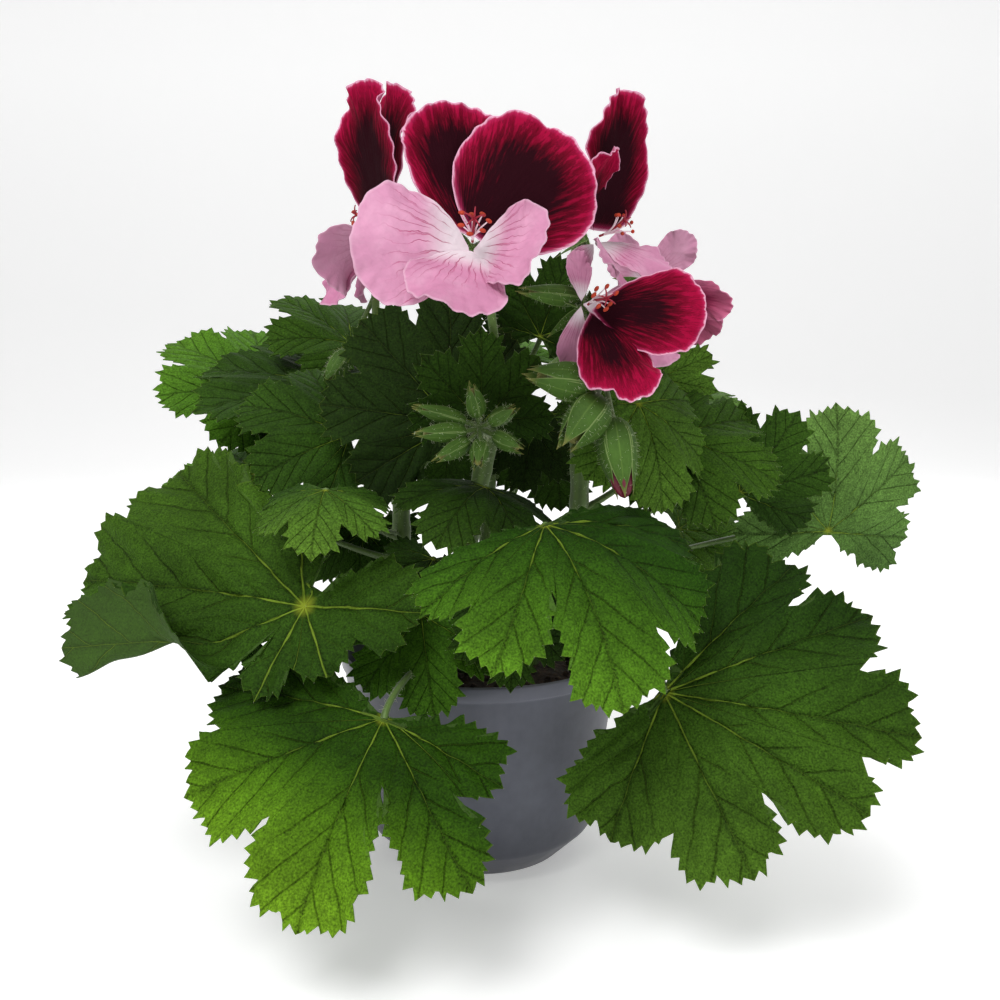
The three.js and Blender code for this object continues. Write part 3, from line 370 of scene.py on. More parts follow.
def shell(middle, rings, columns, thickness):
    """A closed blade: the disc moved half its thickness each way along its normals, with a rim between."""
    faces = disc_faces(rings, columns)
    corners = middle[faces]
    normal = np.cross(corners[:, 1] - corners[:, 0], corners[:, 2] - corners[:, 0])
    normals = np.zeros_like(middle)
    for corner in range(3):
        np.add.at(normals, faces[:, corner], normal)
    normals = unit(normals) * thickness / 2
    total = len(middle)
    rim = 1 + (rings - 1) * columns + np.arange(columns)
    after = np.roll(rim, -1)
    edge = np.concatenate([np.stack([rim, total + rim, total + after], -1),
                           np.stack([rim, total + after, after], -1)])
    both = np.concatenate([middle + normals, middle - normals])
    return both, np.concatenate([faces, faces[:, ::-1] + total, edge])


def catmull_rom(route, shares):
    """Points of a centripetal spline through a route, at shares 0 to 1 of its run of segments."""
    route = np.asarray(route, float)
    ends = np.concatenate([[2 * route[0] - route[1]], route, [2 * route[-1] - route[-2]]])
    place = np.clip(np.asarray(shares, float), 0, 1) * (len(route) - 1)
    first = np.minimum(place.astype(int), len(route) - 2)
    share = (place - first)[:, None]
    p0, p1, p2, p3 = (ends[first + step] for step in range(4))
    pairs = ((p0, p1), (p1, p2), (p2, p3))
    d0, d1, d2 = (np.linalg.norm(b - a, axis=1, keepdims=True) ** 0.5 for a, b in pairs)
    slope1 = ((p1 - p0) / d0 - (p2 - p0) / (d0 + d1) + (p2 - p1) / d1) * d1
    slope2 = ((p2 - p1) / d1 - (p3 - p1) / (d1 + d2) + (p3 - p2) / d2) * d1
    return (p1 + slope1 * share + (3 * (p2 - p1) - 2 * slope1 - slope2) * share ** 2
            + (2 * (p1 - p2) + slope1 + slope2) * share ** 3)


def bezier(start, middle, end, shares):
    """Points of a quadratic curve that leaves start towards middle and comes to end from it."""
    start, middle, end = (np.asarray(point, float) for point in (start, middle, end))
    share = np.asarray(shares)[:, None]
    return start * (1 - share) ** 2 + middle * 2 * share * (1 - share) + end * share ** 2


def frames(path):
    """The tangent of a path and two directions square to it, at each of its points."""
    tangent = unit(np.gradient(path, axis=0))
    lean = np.abs(unit(path[-1] - path[0]))
    reference = np.eye(3)[np.argmin(lean)]
    side = unit(np.cross(tangent, reference))
    return tangent, side, np.cross(tangent, side)


def tube(path, radii, sides, slot=0, tint=(1, 1, 1, 1), flat=1.0, ribs=0, rib_depth=0.0, lean=None):
    """A round or flattened section carried along a path, with closed ends; detail is (along, round, rib)."""
    path = np.asarray(path, float)
    radii = np.broadcast_to(np.asarray(radii, float), (len(path),))
    tangent, side, other = frames(path)
    if lean is not None:
        other = unit(np.asarray(lean, float) - tangent * (tangent @ np.asarray(lean, float))[:, None])
        side = np.cross(other, tangent)
    turn = np.arange(sides) / sides * 2 * np.pi
    rib = np.abs(np.cos(turn * ribs / 2)) if ribs else np.ones(sides)
    reach = radii[:, None] * (1 - rib_depth + rib_depth * rib)
    ring = (side[:, None] * (np.cos(turn) * reach)[..., None]
            + other[:, None] * (np.sin(turn) * reach * flat)[..., None])
    points = np.concatenate([(path[:, None] + ring).reshape(-1, 3), path[:1], path[-1:]])
    low, high = len(path) * sides, len(path) * sides + 1
    column = np.arange(sides)
    after = (column + 1) % sides
    top = (len(path) - 1) * sides
    caps = np.concatenate([np.stack([np.full(sides, low), after, column], -1),
                           np.stack([np.full(sides, high), top + column, top + after], -1)])
    along = np.repeat(np.linspace(0, 1, len(path)), sides)
    detail = np.stack([along, np.tile(turn / (2 * np.pi), len(path)), np.tile(rib, len(path)),
                       np.zeros(len(path) * sides)], -1)
    detail = np.concatenate([detail, [[0, 0, 1, 0], [1, 0, 1, 0]]])
    faces = np.concatenate([grid_faces(len(path), sides, True)[:, ::-1], caps])
    return part(points, faces, slot, detail, tint)


def hairs(places, normals, length, radius, slot, droop=0.2):
    """Fine spikes: three points round each place and one out along its normal, turned a little by chance."""
    count = len(places)
    if not count:
        return part(np.zeros((0, 3)), np.zeros((0, 3)), slot)
    aim = unit(unit(normals) + RANDOM.normal(0, 0.35, (count, 3)) - np.array([0, 0, droop]))
    side = unit(np.cross(aim, np.array([0.31, 0.83, 0.46])))
    other = np.cross(aim, side)
    turn = np.arange(3) * 2 * np.pi / 3
    ring = side[:, None] * np.cos(turn)[:, None] + other[:, None] * np.sin(turn)[:, None]
    ring = places[:, None] + radius * ring
    tip = places + aim * (length * RANDOM.uniform(0.5, 1, count))[:, None]
    points = np.concatenate([ring, tip[:, None]], 1).reshape(-1, 3)
    pattern = np.array([[0, 2, 1], [0, 1, 3], [1, 2, 3], [2, 0, 3]])
    return part(points, (pattern[None] + 4 * np.arange(count)[:, None, None]).reshape(-1, 3), slot)


def hairs_on(body, count, length, radius, slot):
    """Hairs at places chosen by chance, by area, over a part's faces."""
    corners = body.points[body.faces]
    normal = np.cross(corners[:, 1] - corners[:, 0], corners[:, 2] - corners[:, 0])
    area = np.linalg.norm(normal, axis=1)
    chosen = RANDOM.choice(len(area), int(count), p=area / area.sum())
    weights = RANDOM.dirichlet((1, 1, 1), int(count))
    return hairs((corners[chosen] * weights[..., None]).sum(1), normal[chosen], length, radius, slot)


def leaf_edge(outline, degrees):
    """Each lobe's edge falls by the fourth power of the way across it to the notch between two lobes, and
    by the sixth power to the base on an end lobe. Gives radius, way across, and the lobe's own angle."""
    axes, lengths, cuts = np.array(outline.lobes, float).T
    low, high = outline.ends
    index = np.searchsorted((axes[:-1] + axes[1:]) / 2, degrees)
    axis, length = axes[index], lengths[index]
    side = np.where(degrees < axis, -1, 1)
    inside = (index + side >= 0) & (index + side < len(axes))
    other = np.clip(index + side, 0, len(axes) - 1)
    limit = np.where(inside, (axis + axes[other]) / 2, np.where(side < 0, low, high))
    across = np.abs((degrees - axis) / (limit - axis))
    cut = np.where(side < 0, cuts[other], cuts[index])
    notch = (length + lengths[other]) / 2 * (1 - cut)
    between = length + (notch - length) * across ** 4
    end = length + (LEAF_BASE - length) * across ** 6
    return np.where(inside, between, end), across, axis


def leaf_columns(outline, size, spacing):
    """Angles round a leaf, four to a tooth, from each notch to each vein's own peak. Beside each angle comes
    the height of its tooth and of its scallop of three or four teeth, both from 0 to 1."""
    axes = [lobe[0] for lobe in outline.lobes]
    notches = [(a + b) / 2 for a, b in zip(axes[:-1], axes[1:])]
    low, high = outline.ends
    rows = []
    for axis, before, after in zip(axes, [low, *notches], [*notches, high]):
        for notch in (before, after):
            fine = np.linspace(notch, axis, 60)
            inner = np.clip(fine, min(notch, axis) + 1e-6, max(notch, axis) - 1e-6)
            radius, angle = leaf_edge(outline, inner)[0], np.radians(fine)
            run = np.hypot(np.diff(radius * np.cos(angle)), np.diff(radius * np.sin(angle)))
            run = np.concatenate([[0], np.cumsum(run)])
            teeth = max(1, round(run[-1] * size / spacing))
            phase = (np.arange(teeth)[:, None] + TOOTH_PHASES).ravel()[:-1]
            share = phase / (teeth - 1 + TOOTH_PHASES[2])
            share = share[share <= 1 + 1e-9]
            height = np.tile(TOOTH_HEIGHTS, teeth)[:len(share)]
            height = height * (0.78 + 0.3 * np.sin(np.floor(phase[:len(share)] + 0.01) * 2.4 + axis))
            scallops = max(1, round(teeth / SCALLOP_TEETH)) - 0.5
            scallop = np.sin(np.pi * ((share * scallops) % 1)) ** 0.6
            row = np.stack([np.interp(share * run[-1], run, fine), height, scallop], -1)
            rows.append(row if notch == before else row[-2::-1])
        if axis != axes[-1]:
            rows[-1] = rows[-1][:-1]
    return np.concatenate(rows).T


def fold_lobe(outline, degrees, out, x, y, z):
    """Turns a lobe up and back over its fold line, by more the further out it lies."""
    line, end = outline.fold
    vein = np.radians(line)
    inside = (degrees > line) & (degrees < end)
    away, along = y * np.cos(vein) - x * np.sin(vein), x * np.cos(vein) + y * np.sin(vein)
    turned = np.minimum(np.maximum(away, 0) / FOLD_RADIUS, FOLD_ANGLE * smooth(out, FOLD_FROM, FOLD_TO))
    rest = away - FOLD_RADIUS * turned
    flat = FOLD_RADIUS * np.sin(turned) + rest * np.cos(turned) - z * np.sin(turned)
    height = FOLD_RADIUS * (1 - np.cos(turned)) + rest * np.sin(turned) + z * np.cos(turned)
    folded = (along * np.cos(vein) - flat * np.sin(vein), along * np.sin(vein) + flat * np.cos(vein), height)
    return (np.where(inside, new, old) for new, old in zip(folded, (x, y, z)))


def leaf_flat(outline, degrees, reach, offset):
    """The flat blade: steps out from the junction follow each column, along its vein by reach and off it by
    reach to a power, so that they meet a notch's walls at a slant. The edge moves out along its own normal
    by an offset. Gives x, y, and the way along and off the column's own vein, and the way across its lobe."""
    radius, column_across, axis = leaf_edge(outline, degrees)
    angle, vein = np.radians(degrees), np.radians(axis)
    bow = np.zeros(len(degrees)) if outline.fold else smooth(1 - column_across, 0, 0.15)
    run = radius * np.cos(angle - vein) * reach
    aside = radius * np.sin(angle - vein) * reach ** (1 + bow)
    x, y = run * np.cos(vein) - aside * np.sin(vein), run * np.sin(vein) + aside * np.cos(vein)
    if len(degrees) > 2:
        edge = np.stack([radius * np.cos(angle), radius * np.sin(angle)], -1)
        tangent = unit(np.gradient(edge, axis=0))
        x, y = x + tangent[:, 1] * offset, y - tangent[:, 0] * offset
    along, off = x * np.cos(vein) + y * np.sin(vein), y * np.cos(vein) - x * np.sin(vein)
    half = np.abs(angle - vein) / np.maximum(column_across, 1e-6)
    own = np.arctan2(off, np.maximum(along, 1e-6))
    across = np.where(column_across < 1e-6, 0, np.clip(np.abs(own) / np.maximum(half, 1e-6), 0, 1))
    return x, y, along, off, across, vein + own


def leaf_surface(leaf, degrees, reach, offset=0.0, fine=0.0):
    """The middle surface of a unit leaf: pleated between its veins, waved and crinkled towards its edge,
    quilted between its side veins, then drooped across and along. Gives its points, and of each the flat
    place along and off its vein and how far across its lobe it lies."""
    outline = OUTLINES[leaf.outline]
    x, y, along, off, across, angle = leaf_flat(outline, degrees, reach, offset)
    out = np.hypot(x, y)
    z = PLEAT * out * across ** (2 - 0.5 * fine) + LEAF_WAVE * out ** 2 * np.sin(4 * angle + leaf.at[0])
    edge_wave = np.sin(13 * angle + leaf.at[1]) + 0.7 * np.sin(31 * angle + leaf.at[2])
    z = z + fine * CRINKLE * reach ** 4 * edge_wave
    run = (along - SIDE_LEAN * np.abs(off)) / SIDE_SPACING + np.where(off > 0, SIDE_SHIFT, 0)
    z = z + fine * QUILT * np.sin(np.pi * run) ** 2 * smooth(run, 0.3, 1) * smooth(across, 1, 0.6)
    if outline.fold:
        x, y, z = fold_lobe(outline, degrees, out, x, y, z)
    y, z = curl(y, z, np.radians(leaf.arch))
    x, z = curl(x, z, np.radians(leaf.bend))
    return np.stack([x, y, z], -1), along, off, across


def placement(base, tip, face, unit_tip):
    """Turns, scales and moves unit points so that their tip comes to tip and their upper side faces face."""
    base, tip = np.asarray(base, float), np.asarray(tip, float)
    scale = np.linalg.norm(tip - base) / np.hypot(unit_tip[0], unit_tip[2])
    ahead = unit(tip - base)
    up = across_of(face, ahead)
    basis = np.stack([ahead, np.cross(up, ahead), up])
    local = np.arctan2(unit_tip[2], unit_tip[0])
    sine, cosine = np.sin(local), np.cos(local)
    turn = np.array([[cosine, 0, sine], [0, 1, 0], [-sine, 0, cosine]])
    return lambda points: (points * scale) @ turn.T @ basis + base


def leaf_spread(leaf, degrees, reach):
    """The flat place of each point of a leaf, as shares of its length along its middle lobe and beside it."""
    x, y = leaf_flat(OUTLINES[leaf.outline], degrees, reach, 0.0)[:2]
    return np.stack([x, y], -1)


def leaf_part(leaf, foliage):
    """One leaf: a fine toothed blade of two faces. Detail is (along vein, off vein, across lobe, reach), with
    reach below 0 on the underside."""
    at, tip = np.array(leaf.at, float), np.array(leaf.tip, float)
    size = np.linalg.norm(tip - at)
    outline = OUTLINES[leaf.outline]
    unit_tip = leaf_surface(leaf, np.array([0.0]), np.array([[1.0]]))[0][0, 0]
    place = placement(at, tip, leaf.face, unit_tip)
    degrees, tooth, scallop = leaf_columns(outline, size, foliage.tooth_spacing / METRE)
    rings = max(FEWEST_RINGS, int(size / LEAF_RING))
    reach = (np.arange(1, rings + 1) / rings)[:, None] ** 0.85
    depth = foliage.tooth_depth / METRE / size
    offset = depth * (tooth - 0.55) * smooth(reach, 0.8, 1)
    offset = offset + SCALLOP * (scallop - 0.8) * smooth(reach, 0.4, 1)
    points, along, off, across = leaf_surface(leaf, degrees, reach, offset, 1.0)
    middle = np.concatenate([[[0, 0, 0]], points.reshape(-1, 3)])
    both, faces = shell(place(middle), rings, len(degrees), foliage.leaf_thickness / METRE)
    flat = np.stack([along, off, across, np.broadcast_to(reach, along.shape)], -1).reshape(-1, 4)
    flat = np.concatenate([[[0, 0, 0, 0.01]], flat])
    detail = np.concatenate([flat, flat * (1, 1, 1, -1)])
    # Painted light and shade: the green is made lighter towards the tip and lighter or darker to one side, as
    # light falls on the leaf
    tipward, sideward = leaf.glow
    spread = np.concatenate([[[0, 0]], leaf_spread(leaf, degrees, reach).reshape(-1, 2)])
    glow = 1 + tipward * (spread[:, 0] - PAINTED_LIGHT_CENTRE) + sideward * spread[:, 1]
    glow = np.clip(glow, DIMMEST, BRIGHTEST)
    green = linear(GREENS[leaf.green]) * glow[:, None] ** YELLOWING
    tint = np.c_[green, np.full(len(glow), size / 100)]
    blade = part(both, faces, 0, detail, np.concatenate([tint, tint]))
    rim = 1 + (rings - 1) * len(degrees) + np.arange(0, len(degrees), 2)
    edge = blade.points[rim]
    outward = unit(edge - place(middle)[rim - len(degrees)])
    length, radius = foliage.hair_length / METRE, foliage.hair_radius / METRE
    return [blade, hairs(edge, outward, length * 0.3, radius * 0.7, 2)]


def stem_point(route, height):
    """The point of a stem at a height."""
    points = catmull_rom(route, np.linspace(0, 1, 61))
    return points[np.argmin(np.abs(points[:, 2] - height))]


def petiole_path(leaf, shares):
    """A leaf stalk leaves its stem outwards and meets the blade's underside squarely."""
    start, end = stem_point(STEMS[leaf.stem], leaf.start), np.array(leaf.at, float)
    upper = across_of(leaf.face, np.array(leaf.tip) - end)
    middle = end - upper * np.linalg.norm(end - start) * leaf.approach
    middle[2] += leaf.rise
    return bezier(start, middle, end, shares)


def sepal(start, aim, length, width, slot, curve=0.12):
    """A narrow pointed blade: a flattened section whose width swells early and runs out to a point. It
    hangs down by a curve that grows with the square of the way along."""
    share = np.linspace(0, 1, 12)
    hang = np.array([0, 0, curve * length]) * (share ** 2)[:, None]
    path = start + unit(np.asarray(aim, float)) * (share * length)[:, None] - hang
    widths = width * (0.3 + 0.7 * np.sin(np.pi * share ** 0.6) ** 0.7) * (1 - share ** 3) + 0.06
    return tube(path, widths, 10, slot, flat=0.3)


def bud_part(bud, slot, sides=16):
    """A bud: a slim core in five broad sepals. Each sepal is a cupped blade, widest a third of the way up,
    that follows the bud's swell and ends in a drawn-out point bent a little outwards."""
    base, tip = np.array(bud.base, float), np.array(bud.tip, float)
    length, axis = np.linalg.norm(tip - base), unit(tip - base)
    side = across_of((0.3, -1, 0.4), axis)
    other = np.cross(axis, side)
    share, rise = np.linspace(0, 0.8, 14), np.linspace(0, 1, 16)
    swell = bud.radius * np.sin(np.pi * (share + 0.02) ** 0.66) ** 0.8
    parts = [tube(base + (tip - base) * share[:, None], swell * BUD_CORE + 0.1, sides, slot)]
    lift = bud.radius * np.sin(np.pi * (rise * 0.94 + 0.03) ** 0.62) ** 0.8
    widths = bud.radius * SEPAL_BREADTH * np.sin(np.pi * (rise * 0.9 + 0.06) ** 0.7) ** 0.85
    for index in range(SEPALS):
        angle = (index + tip[0] % 1 + 0.25) / SEPALS * 2 * np.pi
        out = side * np.cos(angle) + other * np.sin(angle)
        flare = bud.radius * (BUD_FLARE + 0.12 * (index % 3)) * rise ** 3
        climb = rise * length * (1 - 0.07 * (index % 2))
        path = base + axis * climb[:, None] + out * (lift + flare)[:, None]
        parts.append(tube(path, widths * (1 - rise ** 5) + 0.07, 12, slot, flat=0.2, lean=out))
    return parts


def bloom_axes(bloom):
    """The way a bloom looks, its up side, and across."""
    ahead = unit(np.array(bloom.face, float))
    up = across_of(bloom.up, ahead)
    return ahead, up, np.cross(up, ahead)


def petal_surface(petal, turn, reach, ruffle=0.0):
    """A rounded blade that narrows to its claw, waved and ruffled at the edge, then arched, twisted and
    bent. Gives its points and the flat place of each: along the petal and across it."""
    tip, width, arch, bend, twist, claw = petal[:6]
    angle = turn * 2 * np.pi
    edge_x = 0.5 - 0.5 * np.cos(angle)
    edge_y = -width * np.sin(angle) * np.maximum(edge_x, 0.02) ** claw
    edge_wave = 0.9 * np.sin(5 * angle + tip[1]) + 0.8 * np.sin(11 * angle + tip[2])
    edge_wave = edge_wave + 0.5 * np.sin(27 * angle)
    uneven = 1 + ruffle * edge_wave * reach ** 8 * edge_x
    x = PETAL_CENTRE + (edge_x - PETAL_CENTRE) * reach * uneven
    y = edge_y * reach * uneven
    z = PETAL_WAVE * reach ** 2 * edge_x * np.sin(5 * angle + tip[0])
    frill = np.sin(9 * angle + tip[1]) + 0.8 * np.sin(21 * angle + tip[0])
    z = z + 1.3 * ruffle * reach ** 5 * edge_x * frill
    z = z + ruffle * 0.14 * np.sin(y / (x + 0.14) * 24) * smooth(x, 0.1, 0.5)
    flat_x, flat_y = x, y
    spin = np.radians(twist) * x
    y, z = curl(y, z, np.radians(arch))
    y, z = y * np.cos(spin) - z * np.sin(spin), y * np.sin(spin) + z * np.cos(spin)
    x, z = curl(x, z, np.radians(bend))
    return np.stack([x, y, z], -1), flat_x, flat_y / width


def petal_part(petal, bloom, side, blooms):
    """One petal of two faces. Detail is (along, fan across, reach, back), and the tint's alpha says how dark
    the petal is."""
    _, up, _ = bloom_axes(bloom)
    base = np.array(bloom.throat, float) + up * side * PETAL_SPREAD
    tip = np.array(petal[0], float)
    base = base + unit(tip - base) * CLAW_OFFSET
    unit_tip = petal_surface(petal, np.array([0.5]), np.array([1.0]))[0][0]
    place = placement(base, tip, bloom.face, unit_tip)
    columns, rings = blooms.petal_columns, PETAL_RINGS
    turn = (np.arange(columns) / columns)[None]
    reach = (np.arange(1, rings + 1) / rings)[:, None] ** 0.8
    points, along, across = petal_surface(petal, turn, reach, PETAL_RUFFLE)
    centre, _, _ = petal_surface(petal, np.array([0.5]), np.array([0.0]))
    both, faces = shell(place(np.concatenate([centre, points.reshape(-1, 3)])), rings, columns,
                        blooms.petal_thickness / METRE)
    flat = np.stack([along, across / (along + 0.14), np.broadcast_to(reach, along.shape)], -1).reshape(-1, 3)
    flat = np.concatenate([[[PETAL_CENTRE, 0, 0]], flat])
    detail = np.concatenate([np.c_[flat, np.zeros(len(flat))], np.c_[flat, np.ones(len(flat))]])
    return part(both, faces, 0, detail, (tip[0] % 7 / 7, tip[2] % 5 / 5, 0, petal[6]))


def ball(centre, radius, slot=0, stretch=(0, 0, 1), ratio=1.0):
    """A round or long grain: a closed spindle along a direction."""
    share = np.linspace(0, np.pi, 9)
    aim = unit(np.asarray(stretch, float))
    path = np.asarray(centre, float) - aim * (np.cos(share) * radius * ratio)[:, None]
    return tube(path, radius * np.sin(share) + 0.01, 10, slot)


def lattice_noise(x, y, seed, octaves=4):
    """Smooth noise on a plane: random values at whole places, eased between them, added over octaves."""
    table = np.random.default_rng(seed).uniform(-1, 1, (64, 64))
    total = np.zeros(np.broadcast(x, y).shape)
    for octave in range(octaves):
        px, py = x * 2 ** octave + 17 * octave, y * 2 ** octave + 31 * octave
        ix, iy = np.floor(px).astype(int), np.floor(py).astype(int)
        fx, fy = smooth(px - ix, 0, 1), smooth(py - iy, 0, 1)
        corner = lambda dx, dy: table[(ix + dx) % 64, (iy + dy) % 64]
        low = corner(0, 0) * (1 - fx) + corner(1, 0) * fx
        high = corner(0, 1) * (1 - fx) + corner(1, 1) * fx
        total += (low * (1 - fy) + high * fy) / 2 ** octave
    return total


def lathe(profile, sides, slot=0):
    """A profile of (radius, height) turned about the pot's axis, open at both its ends."""
    profile = np.asarray(profile, float)
    turn = np.arange(sides) / sides * 2 * np.pi
    around = np.stack([np.cos(turn), np.sin(turn)], -1)
    heights = np.broadcast_to(profile[:, None, 1:], (len(profile), sides, 1))
    rings = np.concatenate([profile[:, None, :1] * around[None], heights], -1)
    return part(rings, grid_faces(len(profile), sides, True)[:, ::-1], slot)


def drained_floor(under, over, holes, ring, radius, sides):
    """The pot's floor in equal wedges, each with a round hole. A wedge is one closed grid of four rows: its
    upper outline, the hole's upper and lower edge, and its lower outline. Under and over are (radius,
    height) of the floor's two faces."""
    arc, edge = sides // holes, sides // holes // 2
    half = np.pi / holes
    share = np.arange(edge) / edge
    bow = np.linspace(-half, half, arc + 1)[:-1]
    hole = np.array([ring, 0.0])
    rows = []
    for size, height in (over, under):
        first = np.stack([np.cos(-half) * share * size, np.sin(-half) * share * size], -1)
        second = np.stack([np.cos(half) * (1 - share) * size, np.sin(half) * (1 - share) * size], -1)
        outline = np.concatenate([first, np.stack([np.cos(bow), np.sin(bow)], -1) * size, second])
        rim = hole + unit(outline - hole) * radius
        rows.append([np.c_[flat, np.full(len(flat), height)] for flat in (outline, rim)])
    grid = np.stack([rows[0][0], rows[0][1], rows[1][1], rows[1][0]])
    wedges = []
    for index in range(holes):
        angle = index / holes * 2 * np.pi
        cosine, sine = np.cos(angle), np.sin(angle)
        turned = grid @ np.array([[cosine, sine, 0], [-sine, cosine, 0], [0, 0, 1]])
        wedges.append(part(turned, grid_faces(4, arc + 2 * edge, True)))
    return wedges


def weld(parts):
    """One part of several whose points that share a place are made one."""
    starts = np.cumsum([0] + [len(one.points) for one in parts[:-1]])
    points = np.concatenate([one.points for one in parts])
    _, first, places = np.unique(np.round(points, 4), axis=0, return_index=True, return_inverse=True)
    faces = places.reshape(-1)[np.concatenate([one.faces + start for one, start in zip(parts, starts)])]
    real = (faces[:, 0] != faces[:, 1]) & (faces[:, 1] != faces[:, 2]) & (faces[:, 2] != faces[:, 0])
    return part(points[first], faces[real])


class Field:
    """A value that varies over a surface: a shader socket on which arithmetic adds Math nodes."""

    def __init__(self, socket):
        self.socket = socket

    def math(self, operation, *others):
        """One step of arithmetic on this value and the others."""
        inputs = dict(enumerate((self, *others)))
        return Field(add_node(self.socket.id_data, "ShaderNodeMath", inputs, operation=operation).outputs[0])

    def __add__(self, other):
        return self.math("ADD", other)

    def __sub__(self, other):
        return self.math("SUBTRACT", other)

    def __mul__(self, other):
        return self.math("MULTIPLY", other)

    def __truediv__(self, other):
        return self.math("DIVIDE", other)

    def __abs__(self):
        return self.math("ABSOLUTE")

    def step(self, low, high, start=0.0, end=1.0):
        """An eased step from start to end while the value goes from low to high."""
        inputs = {"Value": self, "From Min": low, "From Max": high, "To Min": start, "To Max": end}
        made = add_node(self.socket.id_data, "ShaderNodeMapRange", inputs, interpolation_type="SMOOTHSTEP")
        return Field(made.outputs["Result"])


def put(tree, value, socket):
    """Links a field or a socket to an input, or sets the input to a plain value."""
    value = value.socket if isinstance(value, Field) else value
    if isinstance(value, bpy.types.NodeSocket):
        tree.links.new(value, socket)
    else:
        socket.default_value = value


def add_node(tree, kind, inputs=None, **settings):
    """Adds a shader node, sets its options, and puts in its inputs by name or number."""
    made = tree.nodes.new(kind)
    for key, value in settings.items():
        setattr(made, key, value)
    for key, value in (inputs or {}).items():
        put(tree, value, made.inputs[key])
    return made


def place_of(tree):
    """Object coordinates, which are metres in the part's own frame."""
    return add_node(tree, "ShaderNodeTexCoord").outputs["Object"]


def noise(tree, vector, scale, detail, roughness=0.5):
    """Smooth noise from 0 to 1."""
    inputs = {"Vector": vector, "Scale": scale, "Detail": detail, "Roughness": roughness}
    return Field(add_node(tree, "ShaderNodeTexNoise", inputs).outputs["Fac"])


def cells(tree, vector, scale, **settings):
    """The distance to the middle of random cells, or to their edges if the feature says so."""
    made = add_node(tree, "ShaderNodeTexVoronoi", {"Vector": vector, "Scale": scale}, **settings)
    return Field(made.outputs["Distance"])


def scaled(tree, base, level):
    """A colour times a number."""
    return add_node(tree, "ShaderNodeVectorMath", {0: base, "Scale": level}, operation="SCALE").outputs[0]


def paint(tree, base, *coats):
    """Colours laid over a base one after another, each as a factor from 0 to 1 and a colour."""
    for factor, over in coats:
        inputs = {"Factor": factor, 6: base, 7: over}
        base = add_node(tree, "ShaderNodeMix", inputs, data_type="RGBA").outputs[2]
    return base


def opaque(values):
    """A linear colour with an alpha of 1."""
    return (*values, 1.0)


def colour(values):
    """A screen colour from 0 to 255 as a linear colour with alpha."""
    return opaque(linear(values))


def detail_of(tree):
    """The four numbers of detail, the tint and the tint's alpha that a piece's points hold."""
    detail = add_node(tree, "ShaderNodeAttribute", attribute_name="detail")
    split = add_node(tree, "ShaderNodeSeparateColor", {"Color": detail.outputs["Color"]})
    tint = add_node(tree, "ShaderNodeAttribute", attribute_name="tint")
    numbers = [Field(socket) for socket in (*split.outputs, detail.outputs["Alpha"])]
    return (*numbers, tint.outputs["Color"], Field(tint.outputs["Alpha"]))


def mottle_group():
    """The node group for uneven colour, made once: broad and fine noise, 1.3 and 0.7 parts, lighten and
    darken a colour. The fine noise also comes out, as grain."""
    if "Mottle" in bpy.data.node_groups:
        return bpy.data.node_groups["Mottle"]
    tree = bpy.data.node_groups.new("Mottle", "ShaderNodeTree")
    for label, kind, value in (("Color", "NodeSocketColor", (0.5, 0.5, 0.5, 1)),
                               ("Scale", "NodeSocketFloat", 40.0), ("Amount", "NodeSocketFloat", 0.6)):
        tree.interface.new_socket(label, in_out="INPUT", socket_type=kind).default_value = value
    for label, kind in (("Color", "NodeSocketColor"), ("Grain", "NodeSocketFloat")):
        tree.interface.new_socket(label, in_out="OUTPUT", socket_type=kind)
    entry, way_out = tree.nodes.new("NodeGroupInput").outputs, tree.nodes.new("NodeGroupOutput").inputs
    place, scale = place_of(tree), Field(entry["Scale"])
    broad, fine = noise(tree, place, scale, 3), noise(tree, place, scale * 9.0, 2)
    level = (broad * 1.3 + fine * 0.7 - 1.0) * entry["Amount"] + 1.0
    put(tree, scaled(tree, entry["Color"], level), way_out["Color"])
    put(tree, fine, way_out["Grain"])
    return tree


def mottle(tree, base, scale, amount):
    """A colour made uneven by the mottle group, and the group's grain."""
    inputs = {"Color": base, "Scale": scale, "Amount": amount}
    made = add_node(tree, "ShaderNodeGroup", inputs, node_tree=mottle_group())
    return made.outputs["Color"], Field(made.outputs["Grain"])


def finish(name, build, bump=(0.5, 0.001), **plain):
    """A material. Build gives the shader's varying inputs by name and a height for its bump, whose strength
    and distance in metres are bump, and plain gives the inputs that are the same all over."""
    if name in bpy.data.materials:
        return bpy.data.materials[name]
    material = bpy.data.materials.new(name)
    material.use_nodes = True
    tree = material.node_tree
    shader = next(node for node in tree.nodes if node.type == "BSDF_PRINCIPLED")
    inputs = {label.replace("_", " "): value for label, value in plain.items()} | build(tree)
    if "Height" in inputs:
        relief = {"Height": inputs.pop("Height"), "Strength": bump[0], "Distance": bump[1]}
        inputs["Normal"] = add_node(tree, "ShaderNodeBump", relief).outputs[0]
    for label, value in inputs.items():
        put(tree, value, shader.inputs[label])
    return material


